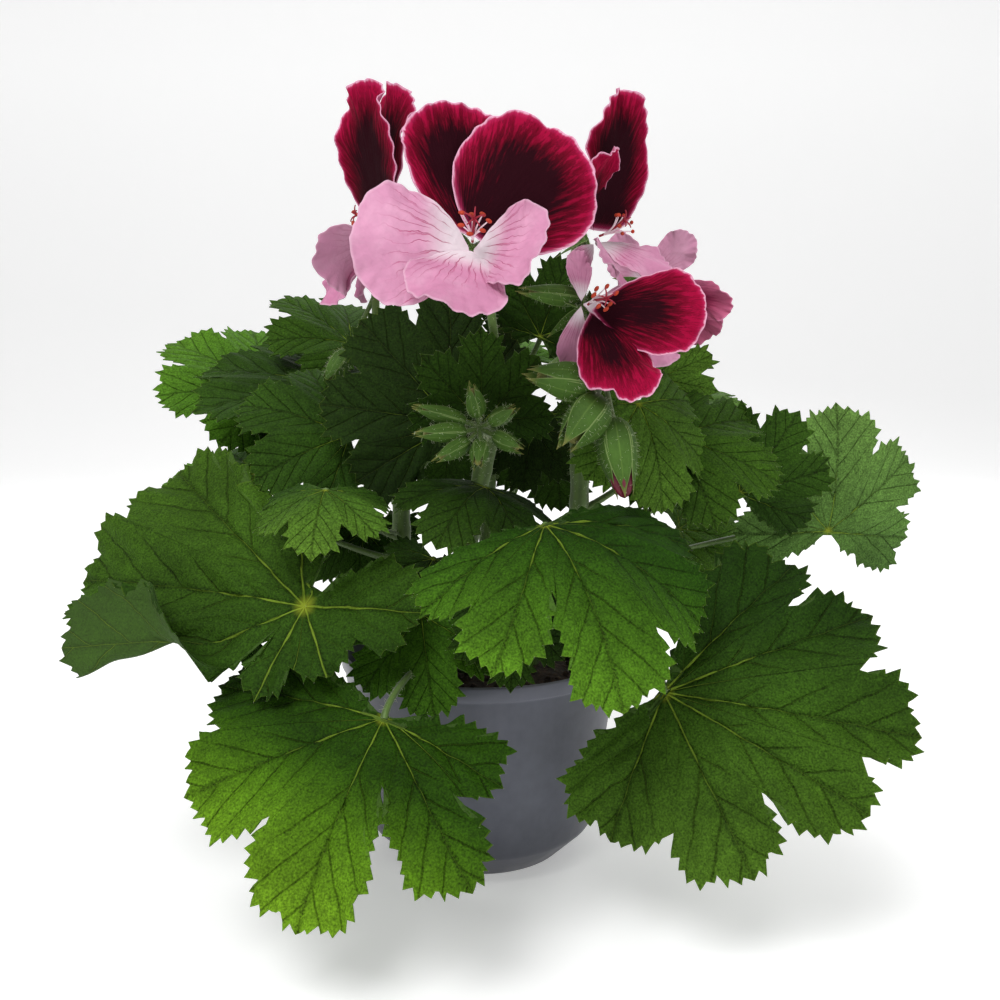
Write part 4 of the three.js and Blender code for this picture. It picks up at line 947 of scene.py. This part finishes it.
def leaf_material(foliage):
    """Velvety leaf: thin yellow-green veins that fork from each lobe's main vein, painted shade in the
    valleys along the veins, a fine puckered net of darker lines, a thin pale margin, and a greyer underside."""
    def build(tree):
        along, off, across, signed_reach, tint = detail_of(tree)[:5]
        place = place_of(tree)
        sway = noise(tree, place, 110.0, 2) - 0.5
        bent = abs(sway * 0.012 + off)
        main = (bent / along.step(0.0, 0.6, 0.0044, 0.001)).step(0.5, 1.3, 1.0, 0.0)
        run = (sway * 0.05 + (along - abs(off) * SIDE_LEAN)) / SIDE_SPACING
        run = run + off.math("GREATER_THAN", 0.0) * SIDE_SHIFT
        near = abs(run.math("FRACT") - 0.5)
        open_lobe = across.step(0.5, 0.95, 1.0, 0.0) * run.step(0.8, 1.3)
        side = near.step(0.482, 0.497) * open_lobe
        # The valleys along the side veins and beside the main vein sink in the bump, and painted shade
        # darkens them
        valley = (near.step(0.42, 0.5) * open_lobe).math("MAXIMUM", bent.step(0.0, 0.022, 1.0, 0.0))
        net_line = cells(tree, place, 680.0, feature="DISTANCE_TO_EDGE").step(0.0, 0.3, 1.0, 0.0)
        velvet = noise(tree, place, 1700.0, 1)
        # Painted shade in the valleys, darker net lines and fine velvet grain, as one scale on the green
        shade_and_grain = valley * -0.34 + 1.0 + net_line * -0.16 + (velvet - 0.5) * 1.6
        body = scaled(tree, mottle(tree, tint, 38.0, foliage.unevenness)[0], shade_and_grain)
        veins, vein_colour = main.math("MAXIMUM", side), opaque(foliage.vein_colour)
        vein = paint(tree, body, (along.step(0.03, 0.6, 0.85, 0.2), vein_colour))
        upper = paint(tree, body, (side * 0.3, vein), (main * 0.85, vein),
                      (along.step(0.005, 0.05, 0.7, 0.0), opaque(foliage.junction_colour)),
                      (abs(signed_reach).step(0.99, 1.0, 0.0, 0.16), vein_colour))
        back = paint(tree, body, (0.3, opaque(foliage.underside_colour)), (veins * 0.35, vein_colour))
        return {"Base Color": paint(tree, upper, (signed_reach.math("LESS_THAN", 0.0), back)),
                "Height": veins * -0.8 + velvet + valley * -0.8}
    return finish("velvety_leaf", build, (0.8, 0.0005), Roughness=0.7, Specular_IOR_Level=0.08)


def stalk_material(foliage):
    """Green stalks, with painted shade that darkens the grooves between their ribs."""
    def build(tree):
        rib = detail_of(tree)[2]
        base, grain = mottle(tree, opaque(foliage.stalk_colour), 90.0, 0.5)
        # Painted shade: the grooves between the ribs are darkened
        return {"Base Color": paint(tree, base, (rib.step(0.2, 1.0, 0.35, 0.0), colour((28, 44, 10)))),
                "Height": grain}
    return finish("green_stalk", build, (0.5, 0.0004), Roughness=0.55, Sheen_Weight=0.2)


def sepal_material(foliage):
    """Green sepals with paler edges, a paler middle line and a brownish point."""
    def build(tree):
        along, around = detail_of(tree)[:2]
        base, grain = mottle(tree, opaque(foliage.sepal_colour), 120.0, 0.6)
        edge = abs((around * (2 * np.pi)).math("COSINE"))
        base = paint(tree, base, (edge.step(0.9, 1.0, 0.0, 0.5), colour((146, 166, 104))),
                     (edge.step(0.1, 0.0, 0.0, 0.3), colour((120, 150, 70))),
                     (along.step(0.8, 1.0, 0.0, 0.6), colour((140, 128, 74))))
        return {"Base Color": base, "Height": grain}
    return finish("green_sepal", build, (0.5, 0.0004), Roughness=0.6, Specular_IOR_Level=0.15)


def hair_material(foliage):
    """Fine hairs, a pale green that is nearly white."""
    def build(tree):
        return {"Base Color": mottle(tree, opaque(foliage.hair_colour), 200.0, 0.3)[0]}
    return finish("pale_hair", build, Roughness=0.4)


def dark_petal_material(blooms):
    """Velvet petals: almost black in the middle, feathered through deep red into crimson, with a thin pale
    pink edge. How far the dark reaches differs by petal, and the paler ones keep dark ribs that fan from
    the claw."""
    def build(tree):
        along, fan, reach, back, tint, darkness = detail_of(tree)
        lines = add_node(tree, "ShaderNodeCombineXYZ", {0: fan * 6.0, 1: along * 2.2})
        lines = add_node(tree, "ShaderNodeVectorMath", {0: lines.outputs[0], 1: tint}, operation="ADD")
        feather = noise(tree, lines.outputs[0], 2.4, 5, 0.65)
        streak = feather - 0.5
        rib = abs(streak).step(0.0, 0.035, 1.0, 0.0)
        spread = add_node(tree, "ShaderNodeMix", {"Factor": darkness, "A": along, "B": reach})
        spread = streak * 0.9 + spread.outputs["Result"] - along.step(0.05, 0.4, 0.3, 0.0)
        past = (spread - (darkness * 0.3 + 0.22)) / 0.5
        heart, rim, faded = opaque(blooms.heart_colour), streak * 0.1 + reach, streak * 0.6 + reach
        body = paint(tree, heart, (past.step(0.0, 0.55), colour((104, 4, 30))),
                     (past.step(0.4, 1.0), opaque(blooms.crimson)), (rib * 0.5, heart),
                     (rim.step(0.88, 0.99, 0.0, 0.5), colour((204, 52, 108))),
                     (rim.step(0.955, 0.995), opaque(blooms.margin_colour)))
        reverse = paint(tree, colour((126, 40, 72)), (faded.step(0.25, 1.0), colour((200, 112, 146))))
        return {"Base Color": paint(tree, body, (back * 0.75, reverse)), "Height": feather}
    return finish("dark_velvet_petal", build, (0.7, 0.0006), Roughness=0.8, Specular_IOR_Level=0.06)


def pale_petal_material(blooms):
    """Thin pink petals: white at the claw, with a few deep pink veins that fan from it, break up and fade."""
    def build(tree):
        along, fan, reach, back, _, depth = detail_of(tree)
        wobble = noise(tree, place_of(tree), 130.0, 3)
        veins = []
        for count, start, end, wide in ((2.6, 0.12, 0.7, 0.075), (5.2, 0.3, 0.84, 0.07)):
            line = abs(((wobble * 0.5 + fan) * count + 0.31).math("FRACT") - 0.5).step(0.0, wide, 1.0, 0.0)
            veins.append(line * along.step(start, start + 0.08) * along.step(start + 0.1, end, 1.0, 0.0))
        veins = veins[0].math("MAXIMUM", veins[1]) * wobble.step(0.38, 0.52, 0.35, 1.0)
        wash = wobble.step(0.4, 0.7) * along.step(0.3, 0.6)
        pink = paint(tree, opaque(blooms.pink), (depth, colour((186, 96, 140))))
        body = paint(tree, colour((226, 214, 220)), (along.step(0.12, 0.46), pink),
                     (wash * 0.35, colour((226, 176, 200))))
        body, grain = mottle(tree, body, 60.0, 0.3)
        body = paint(tree, body, (veins * 0.9, opaque(blooms.pink_vein)),
                     (reach.step(0.94, 1.0, 0.0, 0.4), colour((232, 198, 214))),
                     (back * 0.35, colour((204, 158, 180))))
        return {"Base Color": body, "Height": veins * -0.5 + grain}
    return finish("pale_pink_petal", build, (0.6, 0.0005), Roughness=0.65, Specular_IOR_Level=0.1)


def plain_plant_material(name, screen_colour, unevenness=0.5, roughness=0.5):
    """A plant part of one uneven colour."""
    def build(tree):
        base, grain = mottle(tree, colour(screen_colour), 260.0, unevenness)
        return {"Base Color": base, "Height": grain}
    return finish(name, build, (0.4, 0.0003), Roughness=roughness)


def pot_material(pot):
    """Thin formed plastic, dusty grey: faint upright streaks, painted shade that darkens it towards the foot,
    and a painted highlight that makes its lip paler.
    """
    def build(tree):
        place = place_of(tree)
        stretched = add_node(tree, "ShaderNodeMapping", {"Vector": place, "Scale": (60.0, 60.0, 5.0)})
        streak = noise(tree, stretched.outputs[0], 1.0, 4)
        height = Field(add_node(tree, "ShaderNodeSeparateXYZ", {0: place}).outputs[2])
        base, grain = mottle(tree, opaque(pot.colour), 30.0, 0.5)
        # Painted shade: the pot is darkened towards its foot
        base = paint(tree, base, (height.step(0.0, 0.03, 0.5, 0.0), colour((44, 44, 48))),
                     (streak.step(0.5, 0.75, 0.0, 0.2), colour((112, 114, 124))),
                     # Painted highlight: the uppermost band of the pot, at its lip, is made paler
                     (height.step(0.0664, 0.0668, 0.0, 0.3), colour((124, 126, 138))))
        return {"Base Color": base, "Height": grain, "Roughness": streak.step(0.3, 0.7, 0.3, 0.46)}
    return finish("grey_pot_plastic", build, (0.25, 0.0003), Specular_IOR_Level=0.35)


def soil_material(pot):
    """Damp peat: dark crumbs with lighter fibres, and painted shade in the low gaps between the crumbs."""
    def build(tree):
        place = place_of(tree)
        fine = noise(tree, place, 420.0, 6, 0.7)
        crumb = cells(tree, place, 500.0)
        base = paint(tree, opaque(pot.soil_colour), (fine.step(0.4, 0.7), colour((92, 70, 52))),
                     # Painted shade: the low gaps between the crumbs are darkened
                     (crumb.step(0.0, 0.7, 0.0, 0.6), colour((20, 13, 9))))
        return {"Base Color": base, "Height": fine - crumb}
    return finish("damp_peat", build, (0.9, 0.001), Roughness=0.95)


def floor_material(stage):
    """A pale floor, a little uneven, that glows faintly so that it stays white."""
    def build(tree):
        pale = opaque(stage.floor_colour)
        darker = opaque(FLOOR_SHADE * value for value in pale[:3])
        return {"Base Color": paint(tree, pale, (noise(tree, place_of(tree), 2.0, 2), darker))}
    return finish("pale_floor", build, Roughness=0.9, Specular_IOR_Level=0.0,
                  Emission_Color=(1, 1, 1, 1), Emission_Strength=FLOOR_GLOW)


def colour_property(label, text, screen_colour):
    """A colour that a user can change, given as a screen colour from 0 to 255."""
    return FloatVectorProperty(name=label, description=text, default=tuple(linear(screen_colour)),
                               subtype="COLOR", size=3, min=0, max=1)


def size_property(label, text, value):
    """A length in metres that a user can change."""
    return FloatProperty(name=label, description=text, default=value, unit="LENGTH", subtype="DISTANCE",
                         min=0, precision=5)


class PotSettings(bpy.types.PropertyGroup):
    wall: size_property("Wall", "Thickness of the pot's wall", 0.0008)
    lip: size_property("Lip depth", "Height of the pot's thicker upper edge", 0.005)
    sides: IntProperty(name="Sides", description="Steps round the pot", default=160, min=16)
    colour: colour_property("Pot", "Colour of the pot's plastic", (80, 82, 92))
    soil_colour: colour_property("Soil", "Colour of the damp peat", (44, 31, 23))
    crumbs: IntProperty(name="Crumbs", description="Loose crumbs on the soil", default=260, min=0)


class FoliageSettings(bpy.types.PropertyGroup):
    leaf_thickness: size_property("Leaf thickness", "Thickness of a leaf blade", 0.0004)
    tooth_spacing: size_property("Tooth spacing", "Length of edge from tooth to tooth", 0.0034)
    tooth_depth: size_property("Tooth depth", "Depth of a tooth", 0.0026)
    hair_length: size_property("Hair length", "Length of the hairs on stalks and buds", 0.0017)
    hair_radius: size_property("Hair radius", "Radius of a hair at its root", 0.000045)
    unevenness: FloatProperty(name="Unevenness", description="How much a leaf's green varies",
                              default=0.9, min=0)
    vein_colour: colour_property("Veins", "Colour of the leaf veins", (132, 160, 50))
    junction_colour: colour_property("Junction", "Colour where the veins meet", (150, 162, 46))
    underside_colour: colour_property("Underside", "Colour of the leaf's lower side", (84, 108, 58))
    stalk_colour: colour_property("Stalks", "Colour of stems and stalks", (84, 112, 44))
    sepal_colour: colour_property("Sepals", "Colour of the sepals of buds and blooms", (66, 96, 36))
    hair_colour: colour_property("Hairs", "Colour of the hairs", (190, 200, 164))


class BloomSettings(bpy.types.PropertyGroup):
    petal_thickness: size_property("Petal thickness", "Thickness of a petal", 0.0003)
    petal_columns: IntProperty(name="Petal steps", description="Steps round a petal", default=120, min=16)
    heart_colour: colour_property("Heart", "Darkest colour of the upper petals", (38, 4, 14))
    crimson: colour_property("Crimson", "Crimson of the upper petals", (158, 10, 56))
    margin_colour: colour_property("Margin", "Thin edge of the upper petals", (226, 168, 194))
    pink: colour_property("Pink", "Colour of the lower petals", (206, 146, 176))
    pink_vein: colour_property("Pink veins", "Veins of the lower petals", (166, 30, 88))


class StageSettings(bpy.types.PropertyGroup):
    floor_colour: colour_property("Floor", "Colour of the floor and backdrop", (243, 243, 243))
    key_power: FloatProperty(name="Key light", description="Power of the main light in watts",
                             default=11.5, min=0)


def settings(context):
    """The settings of the pot, the foliage, the blooms and the stage."""
    scene = context.scene
    return scene.pelargonium_pot, scene.pelargonium_foliage, scene.pelargonium_blooms, scene.pelargonium_stage


class BuildPot(bpy.types.Operator):
    """Turn the pot's profile into a thin smooth shell with a rolled lip and a floor with drain holes"""
    bl_idname = "pelargonium.build_pot"
    bl_label = "Pot"

    def execute(self, context):
        pot = settings(context)[0]
        rim, height = POT_HIGH[0], POT_HIGH[2]
        wall, lip = pot.wall / METRE, pot.lip / METRE
        slope = (rim - RIM_STEP - SHOULDER_RADIUS) / (height - lip - SHOULDER_HEIGHT)
        levels = np.linspace(SHOULDER_HEIGHT + 1.2, height - lip, 14)
        body = [(SHOULDER_RADIUS + slope * (level - SHOULDER_HEIGHT), level) for level in levels]
        outer = [(FOOT_RADIUS - 1.2, 0), (FOOT_RADIUS - 0.4, 0.15), (FOOT_RADIUS + 0.1, 0.6),
                 (SHOULDER_RADIUS - 0.7, SHOULDER_HEIGHT - 0.9), (SHOULDER_RADIUS - 0.15, SHOULDER_HEIGHT)]
        rolled = [(rim - 0.3, height - lip + 0.3), (rim, height - lip + 0.9), (rim, height - 0.9),
                  (rim - 0.25, height - 0.25), (rim - 0.8, height), (rim - wall - 0.7, height),
                  (rim - wall - 1.1, height - 0.4)]
        inner = [(radius - wall, level) for radius, level in reversed(body)]
        inside = [(SHOULDER_RADIUS - wall, SHOULDER_HEIGHT), (FOOT_RADIUS - wall, FLOOR)]
        sides = pot.sides // (4 * DRAINS) * 4 * DRAINS
        wall_part = lathe([*outer, *body, *rolled, *inner, *inside], sides)
        wedges = drained_floor(outer[0], inside[-1], DRAINS, DRAIN_RING, DRAIN_RADIUS, sides)
        whole = [weld([wall_part, *wedges])]
        piece("nursery_pot", whole, [pot_material(pot)], "pot", sharp=40)
        return {"FINISHED"}


class BuildSoil(bpy.types.Operator):
    """Fill the pot with damp peat that is rough on top, with loose crumbs on it"""
    bl_idname = "pelargonium.build_soil"
    bl_label = "Soil"

    def execute(self, context):
        pot = settings(context)[0]
        radius, mound = SOIL_HIGH[0] - 0.6, SOIL_HIGH[2] - SOIL_LEVEL
        share = np.linspace(0, 1, SOIL_RINGS + 1)[1:, None]
        turn = np.arange(SOIL_COLUMNS)[None] / SOIL_COLUMNS * 2 * np.pi
        x, y = radius * share * np.cos(turn), radius * share * np.sin(turn)
        rough = lattice_noise(x / 9, y / 9, 3, 5) * smooth(1 - share, 0, 0.05)
        z = SOIL_LEVEL + mound * (1 - smooth(share, 0.3, 1)) - SOIL_SINK + rough * 1.1
        middle = [[0, 0, SOIL_LEVEL + mound - SOIL_SINK]]
        around = np.stack([np.cos(turn), np.sin(turn)], -1)
        heights = np.broadcast_to(SOIL_SKIRT[:, None, 1:], (2, SOIL_COLUMNS, 1))
        skirt = np.concatenate([SOIL_SKIRT[:, None, :1] * around, heights], -1)
        rows = np.concatenate([np.stack([x, y, z], -1), skirt]).reshape(-1, 3)
        low = len(rows) + 1
        last = low - SOIL_COLUMNS + np.arange(SOIL_COLUMNS)
        base = np.stack([np.full(SOIL_COLUMNS, low), np.roll(last, -1), last], -1)
        faces = np.concatenate([disc_faces(SOIL_RINGS + 2, SOIL_COLUMNS), base])
        bed = part(np.concatenate([middle, rows, [[0, 0, SOIL_SKIRT[-1, 1]]]]), faces)
        crumbs = []
        for _ in range(pot.crumbs):
            out, angle = CRUMB_REACH * RANDOM.uniform(0.05, 0.97) ** 0.5, RANDOM.uniform(0, 2 * np.pi)
            height = SOIL_LEVEL + mound * (1 - smooth(out / radius, 0.3, 1)) - CRUMB_SINK
            centre = np.array([out * np.cos(angle), out * np.sin(angle), height])
            lump = ball(centre, RANDOM.uniform(0.5, 1.9), 0, RANDOM.normal(0, 1, 3), RANDOM.uniform(0.7, 1.5))
            wobble = 1 + 0.28 * RANDOM.normal(0, 1, (len(lump.points), 1))
            crumbs.append(lump._replace(points=centre + (lump.points - centre) * wobble))
        piece("peat", [bed, *crumbs], [soil_material(pot)], "soil", sharp=70)
        return {"FINISHED"}


class BuildFoliage(bpy.types.Operator):
    """Grow every stem with its stalks and its toothed, veined leaves"""
    bl_idname = "pelargonium.build_foliage"
    bl_label = "Stems and leaves"

    def execute(self, context):
        foliage = settings(context)[1]
        materials = [leaf_material(foliage), stalk_material(foliage), hair_material(foliage)]
        hair = foliage.hair_length / METRE, foliage.hair_radius / METRE
        height, share = np.linspace(0, 1, 60), np.linspace(0, 1, 26)
        girth = STEM_RADIUS + 0.35 * np.sin(height * 34) ** 8
        radii = PETIOLE_RADIUS + 0.7 * (1 - share) ** 8 + 0.25 * share ** 10
        for name, route in STEMS.items():
            trunk = tube(catmull_rom(route, height), girth, 24, 1, ribs=6, rib_depth=0.07)
            parts = [trunk, hairs_on(trunk, STEM_HAIRS, *hair, 2)]
            for leaf in (one for one in LEAVES if one.stem == name):
                stalk = tube(petiole_path(leaf, share), radii, 12, 1, ribs=3, rib_depth=0.08)
                parts += [stalk, hairs_on(stalk, STALK_HAIRS, *hair, 2), *leaf_part(leaf, foliage)]
            piece(f"leaves_{name}", parts, materials, f"leafy_stem_{name}")
        return {"FINISHED"}


class BuildBuds(bpy.types.Operator):
    """Add flower stalks, pedicels, calyxes and hairy buds"""
    bl_idname = "pelargonium.build_buds"
    bl_label = "Flower stalks and buds"

    def execute(self, context):
        foliage = settings(context)[1]
        materials = [stalk_material(foliage), hair_material(foliage), sepal_material(foliage)]
        hair = foliage.hair_length / METRE, foliage.hair_radius / METRE
        for name, (stem, route) in FLOWER_STALKS.items():
            radius = YOUNG_STALK_RADIUS if name == "young" else STALK_RADIUS
            green = [(tube(catmull_rom(route, np.linspace(0, 1, 24)), radius, 14, 0), STALK_HAIRS)]
            fork = np.array(route[-1], float)
            for bloom in (one for one in BLOOMS if one.stalk == name):
                green += self.calyx(bloom, fork)
            for bud in (one for one in BUDS if one.stalk == name):
                base, tip = np.array(bud.base, float), np.array(bud.tip, float)
                middle = (fork + base) / 2 + unit(base - tip) * 3
                path = bezier(fork, middle, base + (tip - base) * 0.1, np.linspace(0, 1, 12))
                green.append((tube(path, BUD_STALK_RADIUS, 10, 0), SEPAL_HAIRS))
                density = YOUNG_BUD_HAIRS if bud.radius < YOUNG else BUD_HAIRS
                green += [(one, density) for one in bud_part(bud, 2)]
            parts = [one for one, _ in green] + [hairs_on(one, count, *hair, 1) for one, count in green]
            made = piece(f"flower_stalk_{name}", parts, materials, f"leafy_stem_{stem}", sharp=60)
        self.opening_bud()
        return {"FINISHED"}

    def calyx(self, bloom, fork):
        """A bloom's pedicel from the fork to behind its throat, thicker at its end, and its swept sepals."""
        ahead, up, across = bloom_axes(bloom)
        centre = np.array(bloom.throat, float) - ahead * CALYX_BACK
        share = np.linspace(0, 1, 20)
        path = bezier(fork, centre - ahead * SEPAL_LENGTH, centre, share)
        green = [(tube(path, PEDICEL_RADIUS + 0.7 * share ** 6, 12, 0), PEDICEL_HAIRS)]
        for index in range(SEPALS):
            angle = (index + 0.5) / SEPALS * 2 * np.pi
            aim = up * np.cos(angle) + across * np.sin(angle) - ahead * SEPAL_SWEEP
            green.append((sepal(centre, aim, SEPAL_LENGTH, SEPAL_WIDTH, 2), SEPAL_HAIRS))
        return green

    def opening_bud(self):
        """The rolled dark petals that end the opening bud: a ribbed section that rounds in to its tip."""
        bud = next(bud for bud in BUDS if bud.opening)
        base, tip = np.array(bud.base, float), np.array(bud.tip, float)
        share = np.linspace(OPENING, 1, 20)
        radii = bud.radius * 0.82 * (1 - ((share - OPENING) / (1 - OPENING)) ** 2.4) ** 0.6 + 0.1
        rolled = tube(base + (tip - base) * share[:, None], radii, 40, 0, ribs=5, rib_depth=0.3)
        piece("opening_bud", [rolled], [plain_plant_material("bud_petal", (96, 10, 36), 0.8)],
                      "opening_bud_petals")


class BuildBlooms(bpy.types.Operator):
    """Open every bloom: two dark upper petals, three pale lower ones, stamens and style"""
    bl_idname = "pelargonium.build_blooms"
    bl_label = "Blooms"

    def execute(self, context):
        blooms = settings(context)[2]
        kinds = (("upper", 1, dark_petal_material(blooms), "dark_petal"),
                 ("lower", -1, pale_petal_material(blooms), "pale_petal"))
        for bloom in BLOOMS:
            for kind, side, material, slot in kinds:
                parts = [petal_part(petal, bloom, side, blooms) for petal in getattr(bloom, kind)]
                node = f"bloom_{bloom.name}_{kind}_petals"
                piece(f"petals_{bloom.name}_{kind}", parts, [material], node)
            self.stamens(bloom)
        return {"FINISHED"}

    def stamens(self, bloom):
        """Filaments fanned from the throat, each with a long anther, round a style with curled branches."""
        ahead, up, across = bloom_axes(bloom)
        base = np.array(bloom.throat, float) + ahead * STAMEN_AHEAD
        parts = []
        share = np.linspace(0, 1, 12)
        for index in range(STAMENS):
            angle = index / STAMENS * 2 * np.pi
            aim = unit(ahead + up * (0.2 + STAMEN_FAN * np.sin(angle)) + across * STAMEN_FAN * np.cos(angle))
            end = base + aim * STAMEN_LENGTH * (1 - 0.1 * (index % 3))
            path = bezier(base, base + ahead * 6, end, share)
            parts.append(tube(path, 0.32 - 0.14 * share, 8, 0))
            parts.append(ball(end, ANTHER_RADIUS, 1, np.cross(aim, up) + 0.3 * aim, 1.7))
        column = bezier(base, base + ahead * 5, base + ahead * 9 + up * 2.4, share)
        parts.append(tube(column, 0.4, 10, 2))
        end = column[-1]
        for index in range(STYLE_BRANCHES):
            angle = index / STYLE_BRANCHES * 2 * np.pi
            out = up * np.cos(angle) + across * np.sin(angle)
            branch = bezier(end, end + ahead * 2 + out, end + ahead * 1.6 + out * 3, share)
            parts.append(tube(branch, 0.34 - 0.16 * share, 8, 2))
        materials = [plain_plant_material("pale_filament", (246, 226, 232), 0.2),
                     plain_plant_material("orange_anther", (176, 52, 20), 0.8, 0.7),
                     plain_plant_material("red_style", (150, 18, 44), 0.4)]
        piece(f"stamens_{bloom.name}", parts, materials, f"bloom_{bloom.name}_stamens")


class BuildStage(bpy.types.Operator):
    """Set the pale floor, the soft lights and the camera"""
    bl_idname = "pelargonium.build_stage"
    bl_label = "Stage"

    def execute(self, context):
        stage = settings(context)[3]
        scene = context.scene
        self.backdrop(scene, stage)
        self.lights(scene, stage)
        lens = bpy.data.cameras.new("camera")
        lens.lens, lens.sensor_width, lens.clip_start = LENS, SENSOR, 0.01
        camera = bpy.data.objects.new("camera", lens)
        tilt = Matrix.Rotation(np.pi / 2 - CAMERA_TILT, 4, "X")
        camera.matrix_world = Matrix.Translation(CAMERA_PLACE) @ tilt
        scene.collection.objects.link(camera)
        scene.camera = camera
        scene.view_settings.view_transform = "Standard"
        return {"FINISHED"}

    def backdrop(self, scene, stage):
        """A floor that sweeps up behind the plant: a flat run, a quarter circle and an upright run."""
        turn = np.linspace(0, np.pi / 2, 24)
        sweep = np.stack([SWEEP_START + SWEEP * np.sin(turn), SWEEP - SWEEP * np.cos(turn)], -1)
        profile = np.concatenate([[(FLOOR_FRONT, 0), (SWEEP_START, 0)], sweep,
                                  [(SWEEP_START + SWEEP, BACKDROP_TOP)]])
        sides = np.broadcast_to([-FLOOR_SIDE, FLOOR_SIDE], (len(profile), 2))
        points = np.stack([sides, np.repeat(profile[:, :1], 2, 1), np.repeat(profile[:, 1:], 2, 1)], -1)
        mesh = bpy.data.meshes.new("floor")
        faces = grid_faces(len(profile), 2, False)[:, ::-1]
        mesh.from_pydata(points.reshape(-1, 3).tolist(), [], faces.tolist())
        mesh.polygons.foreach_set("use_smooth", np.ones(len(mesh.polygons), bool))
        mesh.materials.append(floor_material(stage))
        floor = bpy.data.objects.new("floor", mesh)
        scene.collection.objects.link(floor)
        floor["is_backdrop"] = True

    def lights(self, scene, stage):
        """A broad light above and in front, a softer one from the right, one from behind, and a pale sky."""
        for name, (place, power, size) in LIGHTS.items():
            data = bpy.data.lights.new(name, "AREA")
            data.energy = stage.key_power * power
            data.size = size
            light = bpy.data.objects.new(name, data)
            back = unit(np.array(place) - LIT_POINT)
            side = unit(np.cross((0, 0, 1), back))
            matrix = np.eye(4)
            matrix[:3, :3], matrix[:3, 3] = np.stack([side, np.cross(back, side), back], -1), place
            light.matrix_world = Matrix(matrix.tolist())
            scene.collection.objects.link(light)
        world = bpy.data.worlds.new("sky")
        world.use_nodes = True
        sky = world.node_tree.nodes["Background"].inputs
        sky["Color"].default_value, sky["Strength"].default_value = (1, 1, 1, 1), SKY_STRENGTH
        scene.world = world


class PelargoniumPanel(bpy.types.Panel):
    """Lists the builders of the potted pelargonium"""
    bl_idname = "VIEW3D_PT_pelargonium"
    bl_label = "Pelargonium"
    bl_space_type = "VIEW_3D"
    bl_region_type = "UI"
    bl_category = "Pelargonium"

    def draw(self, context):
        for group in settings(context):
            box = self.layout.box()
            for label in group.__annotations__:
                box.prop(group, label)
        for operator in BUILDERS:
            self.layout.operator(operator.bl_idname)


BUILDERS = (BuildStage, BuildPot, BuildSoil, BuildFoliage, BuildBuds, BuildBlooms)
GROUPS = {"pelargonium_pot": PotSettings, "pelargonium_foliage": FoliageSettings,
          "pelargonium_blooms": BloomSettings, "pelargonium_stage": StageSettings}


def register():
    """Registers the settings, gives them to the scene, and registers the builders and the panel."""
    for name, group in GROUPS.items():
        bpy.utils.register_class(group)
        setattr(bpy.types.Scene, name, PointerProperty(type=group))
    for one in (*BUILDERS, PelargoniumPanel):
        bpy.utils.register_class(one)


def unregister():
    """Takes away all that register adds."""
    for one in (PelargoniumPanel, *reversed(BUILDERS)):
        bpy.utils.unregister_class(one)
    for name, group in GROUPS.items():
        delattr(bpy.types.Scene, name)
        bpy.utils.unregister_class(group)


def main():
    register()
    for builder in BUILDERS:
        group, action = builder.bl_idname.split(".")
        getattr(getattr(bpy.ops, group), action)()
    {"cad": CAD_BOX, "visual": [list(corner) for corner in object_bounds()]}


if __name__ == "__main__":
    main()
